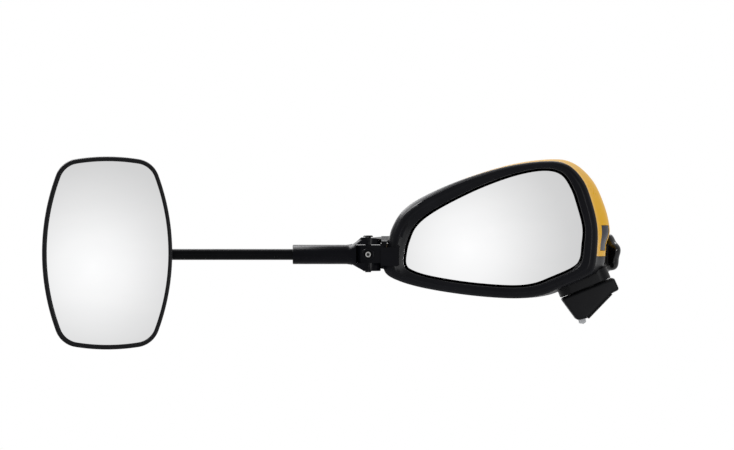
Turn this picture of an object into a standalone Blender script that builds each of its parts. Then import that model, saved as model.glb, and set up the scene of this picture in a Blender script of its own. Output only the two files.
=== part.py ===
"""Towing mirror: a car wing mirror with a clamp-on extension mirror for towing.

Frame: +X towards the vehicle, -Y towards the driver (the glass faces -Y), +Z up.
The origin is on the face of the foot that bolts to the door. All lengths are in
millimetres here and are turned into metres where meshes are made.
"""

from math import atan2, cos, hypot, pi, radians, sin, sqrt

import bmesh
import bpy
from mathutils import Matrix, Vector

MM = 0.001
GAP = 0.3  # clearance between pieces that touch

# ---------------------------------------------------------------- driving sizes
GLASS_EDGE = [  # visible edge of the main glass, (x, z), clockwise from the outboard end
    (-195, 63), (-189, 76), (-176, 88), (-152, 102), (-120, 117), (-87, 128.5),
    (-60, 133), (-43, 129), (-33, 115), (-27, 98), (-21.5, 76), (-22.5, 58),
    (-24.5, 44), (-32, 36), (-52, 27), (-71, 20), (-94, 18), (-134, 21),
    (-172, 27), (-192, 33), (-198.5, 39), (-198, 51),
]
BEZEL_EDGE = [  # outer edge of the bezel, one point for each point of the glass edge
    (-216, 63), (-212, 77), (-202, 92.5), (-183, 106), (-145, 123), (-99, 137),
    (-59, 142.5), (-37, 139), (-21, 123), (-12, 100), (-7, 77), (-7, 56),
    (-10, 34), (-18, 27), (-43, 16), (-63, 8), (-90, 5), (-134, 8),
    (-179, 15), (-207, 23), (-220, 32), (-219.5, 47),
]
OUTLINE_STEPS = 2  # spline points between two points of an outline

HOUSING_FRONT_Y = 7.0  # front edge of the painted cap
HOUSING_WIDE_Y = 42.0  # where the housing is widest
HOUSING_BACK_Y = 112.0
HOUSING_BULGE_X = 13.0  # how far the housing stands out beyond the bezel, inboard
HOUSING_BULGE_Z = 2.0
HOUSING_TUCK_X = 3.6  # the inboard flank is drawn in by this much below the lamp
HOUSING_POLE = (-92.0, 50.0)  # deepest point of the housing, (x, z)
HOUSING_WALL = 2.6

GLASS_RADIUS = 1400.0  # convex glass
GLASS_THICK = 2.0
GLASS_Y = 12.0  # front of the main glass at its centre
GLASS_PIVOT = (-108.0, 28.0, 72.0)
PLUNGER_ARM = 28.0  # distance of each plunger from the glass pivot

FOLD_TILT = radians(22.0)  # the foot's top leans this much
FOLD_POINT = (-16.0, 50.0, 16.0)  # where the fold axis meets the foot's top
FOOT_HALF_Y = 28.0

ARM_Z = 49.0  # height of the clamp, hinge and rod
ARM_Y = 10.0  # depth of the rod's axis
HINGE_X = -236.5  # the upright hinge pin of the arm
SLEEVE_END_X = -312.0
SLEEVE_RADIUS = 9.7
ROD_RADIUS = 5.5
ROD_INNER_X = -274.0

HEAD_CENTRE = (-497.0, 50.5)  # centre of the extension head, (x, z)
HEAD_HALF_W = 65.0
HEAD_HALF_H = 96.3
HEAD_SIDE_RADIUS = 225.0
HEAD_TOP_RADIUS = 200.0
HEAD_CORNER_RADIUS = 25.0
HEAD_FRONT_Y = -21.0
BALL_RADIUS = 9.0

KNOB_RADIUS = 20.7
KNOB_THICK = 10.0
KNOB_LOBE_AT = radians(165)
SCREW_STAGE = 1.44  # where the clamp screw presses on the inboard side of the housing
BAND_THICK = 2.0
BAND_HALF_Z = 11.0
BAND_OFF = 3.4  # from the housing to the band
BAND_HUMP = 8.0  # the band stands this much further out at the clamp screw

COLOURS = {  # name: (red, green, blue, roughness, metallic)
    "yellow_paint": (0.80, 0.49, 0.05, 0.25, 0.0),
    "black_plastic": (0.022, 0.022, 0.025, 0.45, 0.0),
    "gloss_black": (0.012, 0.012, 0.014, 0.15, 0.0),
    "black_steel": (0.018, 0.018, 0.020, 0.30, 0.6),
    "mirror_glass": (0.86, 0.87, 0.88, 0.03, 1.0),
    "rubber": (0.030, 0.030, 0.030, 0.80, 0.0),
    "bare_steel": (0.55, 0.55, 0.56, 0.30, 1.0),
    "die_cast": (0.45, 0.46, 0.47, 0.45, 0.9),
    "grey_plastic": (0.25, 0.25, 0.26, 0.50, 0.0),
    "white_nylon": (0.85, 0.86, 0.86, 0.45, 0.0),
    "smoked_lens": (0.045, 0.045, 0.055, 0.10, 0.0),
    "brass": (0.70, 0.52, 0.22, 0.30, 1.0),
}

ORIGIN = Vector((0, FOLD_POINT[1], 0))  # middle of the door face: lengths above are from y = 0
X_AXIS, Y_AXIS, Z_AXIS = Vector((1, 0, 0)), Vector((0, 1, 0)), Vector((0, 0, 1))
FOLD_AXIS = Vector((-sin(FOLD_TILT), 0, cos(FOLD_TILT)))
FOOT_ALONG = Vector((cos(FOLD_TILT), 0, sin(FOLD_TILT)))  # up the slope of the foot's top


# ---------------------------------------------------------------- scene helpers
def clear_scene():
    for thing in list(bpy.data.objects):
        bpy.data.objects.remove(thing, do_unlink=True)


def new_collection(name):
    made = bpy.data.collections.new(name)
    bpy.context.scene.collection.children.link(made)
    return made


def make_material(name):
    red, green, blue, roughness, metallic = COLOURS[name]
    made = bpy.data.materials.new(name)
    made.use_nodes = True
    shader = made.node_tree.nodes["Principled BSDF"]
    shader.inputs["Base Color"].default_value = (red, green, blue, 1)
    shader.inputs["Roughness"].default_value = roughness
    shader.inputs["Metallic"].default_value = metallic
    return made


clear_scene()
PARTS = new_collection("towing_mirror")
CUTTERS = new_collection("cutters")
CUTTERS.hide_render = True
MATERIALS = {name: make_material(name) for name in COLOURS}


def pivot_empty(name, place, parent=None):
    """An empty on a joint's axis: what hangs on it moves with that joint."""
    made = bpy.data.objects.new(name, None)
    PARTS.objects.link(made)
    made.location = (Vector(place) - ORIGIN) * MM
    if parent:
        attach(made, parent)
    return made


def attach(thing, parent):
    """Parents a thing and leaves it where it is."""
    bpy.context.view_layer.update()
    thing.parent = parent
    thing.matrix_parent_inverse = parent.matrix_world.inverted()


def object_of(name, bm, material, parent=None):
    """Makes an object of a bmesh in millimetres, shaded smooth with sharp edges kept."""
    bmesh.ops.recalc_face_normals(bm, faces=bm.faces)
    bmesh.ops.translate(bm, vec=-ORIGIN, verts=bm.verts)
    bmesh.ops.scale(bm, vec=(MM, MM, MM), verts=bm.verts)
    mesh = bpy.data.meshes.new(name)
    bm.to_mesh(mesh)
    bm.free()
    mesh.shade_smooth()
    mesh.set_sharp_from_angle(angle=radians(32))
    made = bpy.data.objects.new(name, mesh)
    if material:
        PARTS.objects.link(made)
        mesh.materials.append(MATERIALS[material])
    else:
        CUTTERS.objects.link(made)
        made.hide_render = True
        made.display_type = "WIRE"
    if parent:
        attach(made, parent)
    return made


def frame_along(axis, place):
    """The matrix that stands +Z along an axis, at a place."""
    turn = Vector(axis).to_track_quat("Z", "Y").to_matrix().to_4x4()
    return Matrix.Translation(Vector(place)) @ turn


def add_cone(bm, radii, length, place, axis, sides=24):
    """Adds a cylinder or cone centred on a place."""
    bmesh.ops.create_cone(
        bm, cap_ends=True, segments=sides, radius1=radii[0], radius2=radii[1],
        depth=length, matrix=frame_along(axis, place),
    )


def cylinder(name, radius, length, place, axis, material, parent=None, sides=24):
    bm = bmesh.new()
    add_cone(bm, (radius, radius), length, place, axis, sides)
    return object_of(name, bm, material, parent)


def box(name, low, high, material, parent=None):
    """A box between two corners."""
    low, high = Vector(low), Vector(high)
    bm = bmesh.new()
    bmesh.ops.create_cube(bm, size=1)
    bmesh.ops.scale(bm, vec=high - low, verts=bm.verts)
    bmesh.ops.translate(bm, vec=(low + high) / 2, verts=bm.verts)
    return object_of(name, bm, material, parent)


def bevel(thing, width, segments=2, angle=40):
    made = thing.modifiers.new("round_edges", "BEVEL")
    made.width = width * MM
    made.segments = segments
    made.limit_method = "ANGLE"
    made.angle_limit = radians(angle)
    return thing


def cut(thing, *cutters, operation="DIFFERENCE"):
    for cutter in cutters:
        made = thing.modifiers.new("cut", "BOOLEAN")
        made.operation = operation
        made.object = cutter
    return thing


def join_in(thing, *others):
    """Unites other solids with a piece: they stay as helpers."""
    return cut(thing, *others, operation="UNION")


def turned(name, profile, place, axis, material, parent=None, steps=28):
    """A turned piece: a profile of (radius, height) points about an axis.

    The profile starts and ends on the axis, or closes on itself where no point is on it.
    It runs down its outer side.
    """
    bm = bmesh.new()
    points = [bm.verts.new((r, 0, h)) for r, h in profile]
    hollow = all(r > 0 for r, h in profile)
    pairs = list(zip(points, points[1:])) + ([(points[-1], points[0])] if hollow else [])
    for first, second in pairs:
        bm.edges.new((first, second))
    mesh_place = frame_along(axis, (Vector(place) - ORIGIN) * MM)
    bmesh.ops.scale(bm, vec=(MM, MM, MM), verts=bm.verts)
    mesh = bpy.data.meshes.new(name)
    bm.to_mesh(mesh)
    bm.free()
    made = bpy.data.objects.new(name, mesh)
    (PARTS if material else CUTTERS).objects.link(made)
    if material:
        mesh.materials.append(MATERIALS[material])
    else:
        made.hide_render = True
        made.display_type = "WIRE"
    made.matrix_world = mesh_place
    screw = made.modifiers.new("turn", "SCREW")
    screw.steps = screw.render_steps = steps
    screw.use_merge_vertices = True
    screw.merge_threshold = 0.00001
    screw.use_smooth_shade = True
    if parent:
        attach(made, parent)
    return made


def strip_faces(bm, rings, closed_loop=False):
    """Joins rings of vertices, which have the same number of points, with quads."""
    made = [[bm.verts.new(p) for p in ring] for ring in rings]
    pairs = list(zip(made, made[1:])) + ([(made[-1], made[0])] if closed_loop else [])
    for first, second in pairs:
        count = len(first)
        for i in range(count):
            j = (i + 1) % count
            bm.faces.new((first[i], first[j], second[j], second[i]))
    return made


def loft(name, rings, material, parent=None):
    """A solid lofted through rings of points, closed at both ends."""
    bm = bmesh.new()
    made = strip_faces(bm, rings)
    bm.faces.new(made[0])
    bm.faces.new(list(reversed(made[-1])))
    return object_of(name, bm, material, parent)


def hoop(name, rings, material, parent=None):
    """A ring-shaped solid: its cross-section's corners are the rings, taken in order."""
    bm = bmesh.new()
    strip_faces(bm, rings, closed_loop=True)
    return object_of(name, bm, material, parent)


def extruded(name, outline, y_from, y_to, material, parent=None):
    """A flat outline of (x, z) points, extruded along Y."""
    rings = [[(x, y, z) for x, z in outline] for y in (y_from, y_to)]
    return loft(name, rings, material, parent)


# ---------------------------------------------------------------- outlines
def spline_outline(points, steps=OUTLINE_STEPS):
    """A closed Catmull-Rom curve through points, with steps points to each stretch."""
    made = []
    count = len(points)
    for i in range(count):
        a, b, c, d = (Vector(points[(i + k) % count]) for k in (-1, 0, 1, 2))
        for k in range(steps):
            t = k / steps
            made.append(
                0.5 * (2 * b + (c - a) * t + (2 * a - 5 * b + 4 * c - d) * t * t
                       + (3 * b - a - 3 * c + d) * t * t * t)
            )
    return made


def barrel_outline(inset=0.0, steps=4):
    """The extension head's outline: four shallow arcs with four round corners."""
    half_w, half_h = HEAD_HALF_W - inset, HEAD_HALF_H - inset
    side, top = HEAD_SIDE_RADIUS - inset, HEAD_TOP_RADIUS - inset
    corner = max(HEAD_CORNER_RADIUS - inset, 2.0)
    side_x, top_z = half_w - side, half_h - top  # centres of the side and top arcs
    r_side, r_top = side - corner, top - corner
    apart = hypot(side_x, top_z)
    along = (r_side ** 2 - r_top ** 2 + apart ** 2) / (2 * apart)
    off = sqrt(r_side ** 2 - along ** 2)
    ux, uz = -side_x / apart, top_z / apart
    corner_x, corner_z = side_x + along * ux - off * uz, along * uz + off * ux
    if corner_x < 0 or corner_z < 0:
        corner_x, corner_z = side_x + along * ux + off * uz, along * uz - off * ux
    low = atan2(corner_z, corner_x - side_x)
    high = atan2(corner_z - top_z, corner_x)
    quarter = [(side_x + side * cos(low * k / steps), side * sin(low * k / steps))
               for k in range(steps)]
    quarter += [(corner_x + corner * cos(low + (high - low) * k / steps),
                 corner_z + corner * sin(low + (high - low) * k / steps))
                for k in range(steps)]
    quarter += [(top * cos(high + (pi / 2 - high) * k / steps),
                 top_z + top * sin(high + (pi / 2 - high) * k / steps))
                for k in range(steps)]
    right = quarter + [(0.0, half_h)] + [(-x, z) for x, z in reversed(quarter)]
    return right + [(x, -z) for x, z in reversed(right[1:-1])]


def offset_line(outline, distance):
    """A closed clockwise outline moved outwards by a distance, or inwards if it is negative."""
    made = []
    for i, place in enumerate(outline):
        along = (outline[(i + 1) % len(outline)] - outline[i - 1]).normalized()
        made.append(place + Vector((-along.y, along.x)) * distance)
    return made


def at_depth(outline, y):
    return [(p[0], y, p[1]) for p in outline]


GLASS_LINE = spline_outline(GLASS_EDGE)
BEZEL_LINE = spline_outline(BEZEL_EDGE)


def smooth(t):
    t = min(max(t, 0.0), 1.0)
    return t * t * (3 - 2 * t)


def housing_point(edge, stage):
    """A point of the housing's outside. Stage 0 is the front edge, 1 the widest line, 2 the pole.

    The section bulges inboard up to the widest line, then closes over the back like a dome.
    """
    pole = Vector(HOUSING_POLE)
    inboard = min(max((edge[0] + 220) / 213, 0), 1)
    high = max((edge[1] - 78) / 65, 0)
    out = HOUSING_BULGE_X * (1 - 0.5 * high * high) - HOUSING_TUCK_X * smooth((73 - edge[1]) / 15)
    bulge = Vector((out * inboard, HOUSING_BULGE_Z * high))
    if stage <= 1:
        place = edge + bulge * smooth(stage) ** 0.8
        y = HOUSING_FRONT_Y + (HOUSING_WIDE_Y - HOUSING_FRONT_Y) * stage
        return Vector((place.x, y, place.y))
    angle = (stage - 1) * pi / 2
    scale = cos(angle) ** 0.75
    place = pole + (edge + bulge - pole) * scale
    y = HOUSING_WIDE_Y + (HOUSING_BACK_Y - HOUSING_WIDE_Y) * sin(angle) ** 1.15
    return Vector((place.x, y, place.y))


HOUSING_STAGES = [0, 0.3, 0.65, 1, 1.22, 1.42, 1.6, 1.76, 1.88]


def housing_shell(name):
    """The whole housing as one open dome with a thick wall: the cap and lower shell are cut from it."""
    bm = bmesh.new()
    rings = [[housing_point(edge, stage) for edge in BEZEL_LINE] for stage in HOUSING_STAGES]
    made = strip_faces(bm, rings)
    pole = bm.verts.new(housing_point(Vector(HOUSING_POLE), 2))
    last = made[-1]
    for i, vert in enumerate(last):
        bm.faces.new((vert, last[(i + 1) % len(last)], pole))
    made = object_of(name, bm, None)
    wall = made.modifiers.new("wall", "SOLIDIFY")
    wall.thickness = HOUSING_WALL * MM
    wall.offset = -1
    wall.use_even_offset = True
    return made


# ---------------------------------------------------------------- housing
def parting_plane(x):
    """Height of the line where the painted cap meets the black lower shell."""
    return 47.5 - 0.005 * (x + 100)


def half_space(name, above, shift):
    """A big block over or under the parting line, whose slanted face is the parting plane."""
    left, right = -260.0, 60.0
    far = 200.0 if above else -60.0
    outline = [(left, parting_plane(left) + shift), (right, parting_plane(right) + shift),
               (right, far), (left, far)]
    return extruded(name, outline, -20, 140, None)


def make_cap(body):
    cap = real_mesh(cut(housing_shell("cap_whole"), half_space("cap_cutter", False, 0.2)),
                    "cap_shell", "yellow_paint")
    cut(cap, lamp_block("lamp_window_cutter", GAP))
    attach(cap, body)


def real_mesh(source, name, material):
    """The evaluated shape of a helper, as a new piece."""
    bpy.context.view_layer.update()
    graph = bpy.context.evaluated_depsgraph_get()
    mesh = bpy.data.meshes.new_from_object(source.evaluated_get(graph))
    mesh.materials.clear()
    made = bpy.data.objects.new(name, mesh)
    made.matrix_world = source.matrix_world
    (PARTS if material else CUTTERS).objects.link(made)
    if material:
        mesh.materials.append(MATERIALS[material])
    else:
        made.hide_render = True
        made.display_type = "WIRE"
    mesh.shade_smooth()
    mesh.set_sharp_from_angle(angle=radians(32))
    return made


LAMP_Z = (53.0, 78.0)
LAMP_Y = (19.0, 36.0)


def lamp_block(name, margin):
    """The block that the side lamp's window takes up in the inboard flank."""
    low = (-14.0, LAMP_Y[0] - margin, LAMP_Z[0] - margin)
    high = (12.0, LAMP_Y[1] + margin, LAMP_Z[1] + margin)
    return box(name, low, high, None)


def make_lamp(body):
    """The side lamp's lens, which fills its window in the cap's flank."""
    lens = real_mesh(cut(lamp_block("lamp_lens_block", 0), housing_shell("lamp_skin"),
                         operation="INTERSECT"), "lamp_lens", "smoked_lens")
    attach(lens, body)


def make_lower_shell(body):
    shell = real_mesh(cut(housing_shell("lower_whole"), half_space("lower_cutter", True, -0.2)),
                      "lower_part", None)
    neck_solid = neck("neck_block", 0.5, 12.5, 0)
    inside = neck("neck_hollow", -1.5, 23.5, 3.0)
    shell = real_mesh(join_in(shell, cut(neck_solid, inside_of_housing("neck_trim"))),
                      "lower_shell", "black_plastic")
    cut(shell, inside)
    attach(shell, body)


def inside_of_housing(name):
    """The space just inside the housing's outer face, as a solid."""
    rings = [[housing_point(edge, stage) for edge in BEZEL_LINE] for stage in HOUSING_STAGES]
    pole = Vector(HOUSING_POLE)
    for ring in rings:
        for point in ring:
            toward = Vector((pole.x - point.x, 0, pole.y - point.z)).normalized()
            point += toward * (HOUSING_WALL * 0.5)
    rings[0] = [p - Vector((0, 6, 0)) for p in rings[0]]
    return loft(name, rings, None)


def neck(name, low, high, wall):
    """The round-cornered pillar under the housing that stands on the foot."""
    half_u, half_v = 27.0 - wall, FOOT_HALF_Y - wall
    corner = 12.0 - wall
    ring = rounded_rectangle(half_u, half_v, corner)
    centre = Vector(FOLD_POINT) - FOOT_ALONG * 2
    rings = [[centre + FOOT_ALONG * u + Y_AXIS * v + FOLD_AXIS * h for u, v in ring]
             for h in (low, high)]
    return loft(name, rings, None)


def rounded_rectangle(half_u, half_v, corner, steps=4):
    ring = []
    for k in range(4):
        side_u = half_u - corner if k in (0, 3) else corner - half_u
        side_v = half_v - corner if k in (0, 1) else corner - half_v
        for i in range(steps + 1):
            angle = pi / 2 * (k + i / steps)
            ring.append((side_u + corner * cos(angle), side_v + corner * sin(angle)))
    return ring


def make_bezel(body):
    """The black frame round the main glass: a crowned front skin with a wall behind its lip."""
    inner, outer = GLASS_LINE, BEZEL_LINE
    crown = [a.lerp(b, 0.62) for a, b in zip(inner, outer)]
    rings = [
        at_depth(offset_line(inner, 2.2), 25),
        at_depth(offset_line(inner, 2.5), 6),
        at_depth(offset_line(inner, 4.2), 1.2),
        at_depth(crown, 0),
        at_depth(offset_line(outer, -2.2), 2.2),
        at_depth(offset_line(outer, -0.3), 5),
        at_depth(outer, HOUSING_FRONT_Y - GAP),
        at_depth(offset_line(outer, -4.1), HOUSING_FRONT_Y - GAP),
        at_depth(offset_line(outer, -4.1), 11),
        at_depth(offset_line(outer, -5.3), 11),
        at_depth(offset_line(outer, -5.3), 6),
        at_depth(offset_line(inner, 3.8), 6),
        at_depth(offset_line(inner, 3.8), 25),
    ]
    return hoop("bezel", rings, "black_plastic", body)


# ---------------------------------------------------------------- main glass and its drive
def glass_rings(outline, centre, front, shares):
    """Rings of a convex surface, from the edge towards the centre, as seen from the driver."""
    rings = []
    for share in shares:
        ring = []
        for point in outline:
            place = centre + (Vector(point) - centre) * share
            sag = (place - centre).length_squared / (2 * GLASS_RADIUS)
            ring.append((place.x, front + sag, place.y))
        rings.append(ring)
    return rings


def convex_sheet(name, outline, centre, front, thick, material, parent, flat_back=None):
    """A thin convex sheet, such as a mirror glass, closed at its centre on both faces."""
    shares = (1, 0.7, 0.35)
    back = front + thick if flat_back is None else flat_back
    far_rings = glass_rings(outline, centre, back, shares)
    if flat_back is not None:
        far_rings = [[(x, flat_back, z) for x, y, z in ring] for ring in far_rings]
    bm = bmesh.new()
    near = strip_faces(bm, glass_rings(outline, centre, front, shares))
    far = strip_faces(bm, far_rings)
    for rings, y in ((near, front), (far, back)):
        middle = bm.verts.new((centre.x, y, centre.y))
        last = rings[-1]
        for i, vert in enumerate(last):
            bm.faces.new((vert, last[(i + 1) % len(last)], middle))
    edge_near, edge_far = near[0], far[0]
    for i, vert in enumerate(edge_near):
        j = (i + 1) % len(edge_near)
        bm.faces.new((vert, edge_near[j], edge_far[j], edge_far[i]))
    return object_of(name, bm, material, parent)


def make_main_glass(tilt):
    pivot = Vector(GLASS_PIVOT)
    centre = Vector((pivot.x, pivot.z))
    convex_sheet("main_glass", GLASS_LINE, centre, GLASS_Y, GLASS_THICK, "mirror_glass", tilt)
    back = [centre + (p - centre) * 0.985 for p in GLASS_LINE]
    plate_y = GLASS_Y + GLASS_THICK + GAP
    plate = convex_sheet("glass_plate", back, centre, plate_y, 2.4, "black_plastic", tilt)
    for side in (-1, 1):
        ear = box(f"plate_ear_{side}", (pivot.x + side * 13 - 1.7, plate_y + 1, pivot.z - 5),
                  (pivot.x + side * 13 + 1.7, pivot.y + 4.5, pivot.z + 5), None)
        join_in(plate, ear)
    bore = cylinder("plate_ear_bore", 2.9, 40, pivot, X_AXIS, None, sides=16)
    cut(plate, bore)


def make_cross(pan):
    """The small cross that the glass plate and the drive's ears both hang on."""
    pivot = Vector(GLASS_PIVOT)
    bm = bmesh.new()
    add_cone(bm, (2.6, 2.6), 31, pivot, X_AXIS, 12)
    across = object_of("cross_across", bm, None)
    cross = cylinder("pivot_cross", 2.6, 31, pivot, Z_AXIS, "white_nylon", pan, sides=12)
    hub = cylinder("cross_hub", 5.5, 7, pivot, Y_AXIS, None, sides=16)
    join_in(cross, across, hub)


ACTUATOR_FRONT = 38.0
ACTUATOR_BACK = 64.0


def plunger_places():
    """Where the two plungers stand: one inboard of the pivot, one below it."""
    pivot = Vector(GLASS_PIVOT)
    return {
        "pan": Vector((pivot.x + PLUNGER_ARM, 0, pivot.z)),
        "tilt": Vector((pivot.x, 0, pivot.z - PLUNGER_ARM)),
    }


def make_actuator(body, sliders, nuts):
    """The drive that tilts the glass: a cup, its lid, two motors, two nuts and two plungers."""
    pivot = Vector(GLASS_PIVOT)
    middle = (pivot.x, 0, pivot.z)
    profile = [(0, ACTUATOR_FRONT + 2.2), (39.8, ACTUATOR_FRONT + 2.2), (39.8, ACTUATOR_BACK),
               (42, ACTUATOR_BACK), (42, ACTUATOR_FRONT + 2), (40, ACTUATOR_FRONT),
               (0, ACTUATOR_FRONT)]
    case = turned("actuator_case", profile, middle, Y_AXIS, "black_plastic", body, 36)
    for side in (-1, 1):
        ear = box(f"case_ear_{side}", (pivot.x - 4.5, pivot.y - 4.2, pivot.z + side * 13 - 1.7),
                  (pivot.x + 4.5, ACTUATOR_FRONT + 1, pivot.z + side * 13 + 1.7), None)
        join_in(case, ear)
    cut(case, cylinder("case_ear_bore", 2.9, 40, pivot, Z_AXIS, None, sides=16))
    lid_profile = [(0, ACTUATOR_BACK + 2.6), (42, ACTUATOR_BACK + 2.6),
                   (42, ACTUATOR_BACK + GAP), (0, ACTUATOR_BACK + GAP)]
    turned("actuator_lid", lid_profile, middle, Y_AXIS, "black_plastic", body, 36)
    for key, place in plunger_places().items():
        cut(case, cylinder(f"case_hole_{key}", 4.2, 12,
                           (place.x, ACTUATOR_FRONT + 1, place.z), Y_AXIS, None, sides=16))
        tip = GLASS_Y + GLASS_THICK + GAP + 2.4 + PLUNGER_ARM ** 2 / (2 * GLASS_RADIUS) + 0.6
        stem = [(0, 59.4), (3.6, 59.4), (3.6, tip + 2.5), (2.4, tip + 0.7), (0, tip)]
        turned(f"plunger_{key}", stem, (place.x, 0, place.z), Y_AXIS, "white_nylon",
               sliders[key], 16)
        make_drive_nut(f"drive_nut_{key}", place, nuts[key])
    for key, side in (("pan", 1), ("tilt", -1)):
        place = Vector((pivot.x - 20, 52.0, pivot.z + side * 11 + 5))
        motor = cylinder(f"motor_{key}", 7.5, 20, place, X_AXIS, "bare_steel", body, sides=20)
        bevel(motor, 1.0, 1)


def make_drive_nut(name, place, parent):
    """A toothed nut that turns round its plunger."""
    teeth, outer, root = 16, 11.3, 10.2
    ring = []
    for k in range(teeth):
        for share, radius in ((0.0, root), (0.3, outer), (0.6, outer), (0.9, root)):
            angle = 2 * pi * (k + share) / teeth
            ring.append((place.x + radius * cos(angle), place.z + radius * sin(angle)))
    nut = extruded(name, ring, 47, 53, "white_nylon", parent)
    cut(nut, cylinder(f"{name}_bore", 4.1, 20, (place.x, 50, place.z), Y_AXIS, None, sides=16))


# ---------------------------------------------------------------- carrier and fold joint
def make_carrier(body):
    """The die-cast frame inside the housing: it holds the drive and the pivot tube's sleeve."""
    pivot = Vector(GLASS_PIVOT)
    plate_y = ACTUATOR_BACK + 3.2
    outline = [(pivot.x - 46, 40), (-36, 40), (-36, 92), (-60, 108), (-92, 108), (pivot.x - 46, 84)]
    carrier = extruded("carrier_frame", outline, plate_y, plate_y + 4, "die_cast", body)
    centre = Vector(FOLD_POINT)
    sleeve = cylinder("carrier_sleeve", 11.5, 34, centre + FOLD_AXIS * 38, FOLD_AXIS, None)
    web = box("carrier_web", (-44, 52, 42), (-26, plate_y + 3, 64), None)
    bore = cylinder("carrier_bore", 8.4, 80, centre + FOLD_AXIS * 38, FOLD_AXIS, None)
    join_in(carrier, web, sleeve)
    cut(carrier, bore)
    windows = cylinder("carrier_window", 17, 20, (pivot.x, plate_y, pivot.z), Y_AXIS, None)
    cut(carrier, windows)


def make_fold_joint(foot_body, body):
    """The hollow pivot tube, its spring and washers, on the foot's axis."""
    centre = Vector(FOLD_POINT)
    tube = [(5.2, -7.6), (5.2, 84), (8.0, 84), (8.0, -4.6), (12, -4.6), (12, -7.6)]
    turned("pivot_tube", tube, centre, FOLD_AXIS, "bare_steel", foot_body, 20)
    turned("spring_seat", [(8.5, 55.4), (8.5, 57.4), (13, 57.4), (13, 55.4)], centre, FOLD_AXIS,
           "bare_steel", body, 20)
    turned("spring_washer", [(8.5, 78.4), (8.5, 80.4), (13, 80.4), (13, 78.4)], centre, FOLD_AXIS,
           "bare_steel", foot_body, 20)
    clip = turned("spring_clip", [(8.3, 80.8), (8.3, 82.0), (11, 82.0), (11, 80.8)], centre,
                  FOLD_AXIS, "black_steel", foot_body, 20)
    slot = box("clip_slot", (0, -2.2, 70), (16, 2.2, 95), None)
    slot.matrix_world = frame_along(FOLD_AXIS, (centre - ORIGIN) * MM) @ Matrix.Translation(ORIGIN * MM)
    cut(clip, slot)
    make_fold_spring(centre, foot_body)
    turned("detent_ring", [(9, 0.9), (9, 3.4), (17, 3.4), (17, 0.9)], centre, FOLD_AXIS,
           "grey_plastic", body, 24)


def make_fold_spring(centre, parent):
    """A coil spring round the pivot tube: a wire on a helix of a few turns."""
    turns, radius, wire, low, high = 5, 11.0, 1.3, 59.0, 76.8
    steps = 12
    curve = bpy.data.curves.new("fold_spring", "CURVE")
    curve.dimensions = "3D"
    curve.bevel_depth = wire * MM
    curve.bevel_resolution = 1
    curve.use_fill_caps = True
    spline = curve.splines.new("POLY")
    spline.points.add(turns * steps)
    for i, point in enumerate(spline.points):
        angle = 2 * pi * i / steps
        height = low + (high - low) * i / (turns * steps)
        point.co = (radius * cos(angle) * MM, radius * sin(angle) * MM, height * MM, 1)
    spring = bpy.data.objects.new("fold_spring", curve)
    spring.matrix_world = frame_along(FOLD_AXIS, (centre - ORIGIN) * MM)
    PARTS.objects.link(spring)
    curve.materials.append(MATERIALS["bare_steel"])
    attach(spring, parent)


# ---------------------------------------------------------------- foot
FOOT_TOP_LOW, FOOT_TOP_HIGH = (-43.0, 4.6), (10.0, 26.0)
FOOT_RIGHT, FOOT_FACE_HIGH = (15.5, 13.6), (7.8, 10.0)
FOOT_FACE_LOW, FOOT_TAIL = (-16.2, -14.9), (-27.0, -17.2)
DOOR_NORMAL = Vector((0.7195, 0, -0.6945))  # out of the face that bolts to the door
DOOR_ALONG = Vector((0.6945, 0, 0.7195))
GASKET_THICK = 1.0


def foot_outline(inset=0.0):
    """The foot seen from the driver's side; its lower right side is the face on the door."""
    points = [FOOT_TOP_LOW, FOOT_TAIL, FOOT_FACE_LOW, FOOT_FACE_HIGH, FOOT_RIGHT, FOOT_TOP_HIGH]
    if not inset:
        return points
    made = []
    count = len(points)
    for i in range(count):
        before, here, after = (Vector(points[(i + k) % count]) for k in (-1, 0, 1))
        first = (here - before).normalized()
        second = (after - here).normalized()
        inward_1, inward_2 = Vector((-first.y, first.x)), Vector((-second.y, second.x))
        half = (inward_1 + inward_2).normalized()
        made.append(tuple(here + half * (inset / max(half.dot(inward_1), 0.5))))
    return made


def make_foot(foot_body):
    """The foot: a hollow casting, open on the door face, with three bosses for the bolts."""
    middle = FOLD_POINT[1]
    foot = extruded("foot", foot_outline(), middle - FOOT_HALF_Y, middle + FOOT_HALF_Y,
                    "black_plastic", foot_body)
    bevel(foot, 3.0, 3, 30)
    hollow = extruded("foot_hollow", foot_outline(3.2), middle - FOOT_HALF_Y + 3.2,
                      middle + FOOT_HALF_Y - 3.2, None)
    land = turned("foot_land", [(18.6, -2.0), (18.6, 2.2), (21.4, 2.2), (21.4, -2.0)],
                  Vector(FOLD_POINT), FOLD_AXIS, None, None, 32)
    join_in(cut(foot, hollow), land)
    mouth = door_box("foot_mouth", (-16, 8), (-20, 20), (-8, 4))
    cut(foot, mouth)
    for number, (u, v) in enumerate(BOLT_PLACES, 1):
        place = door_point(u, v, -6.6)
        boss = cylinder(f"foot_boss_{number}", 5.2, 10.6, place, DOOR_NORMAL, None, sides=16)
        join_in(foot, boss)
    for number, (u, v) in enumerate(BOLT_PLACES, 1):
        bore = cylinder(f"foot_bore_{number}", 3.6, 30, door_point(u, v, -8), DOOR_NORMAL, None,
                        sides=16)
        cut(foot, bore)
        turned(f"bolt_insert_{number}", [(2.5, -11), (2.5, -1.6), (3.3, -1.6), (3.3, -11)],
               door_point(u, v, 0), DOOR_NORMAL, "brass", foot_body, 16)
    tube_hole = cylinder("foot_tube_hole", 8.3, 40, Vector(FOLD_POINT), FOLD_AXIS, None)
    cut(foot, tube_hole)


BOLT_PLACES = [(5.5, -20.0), (5.5, 20.0), (-14.0, 20.0)]  # (along the face, along Y)


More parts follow.
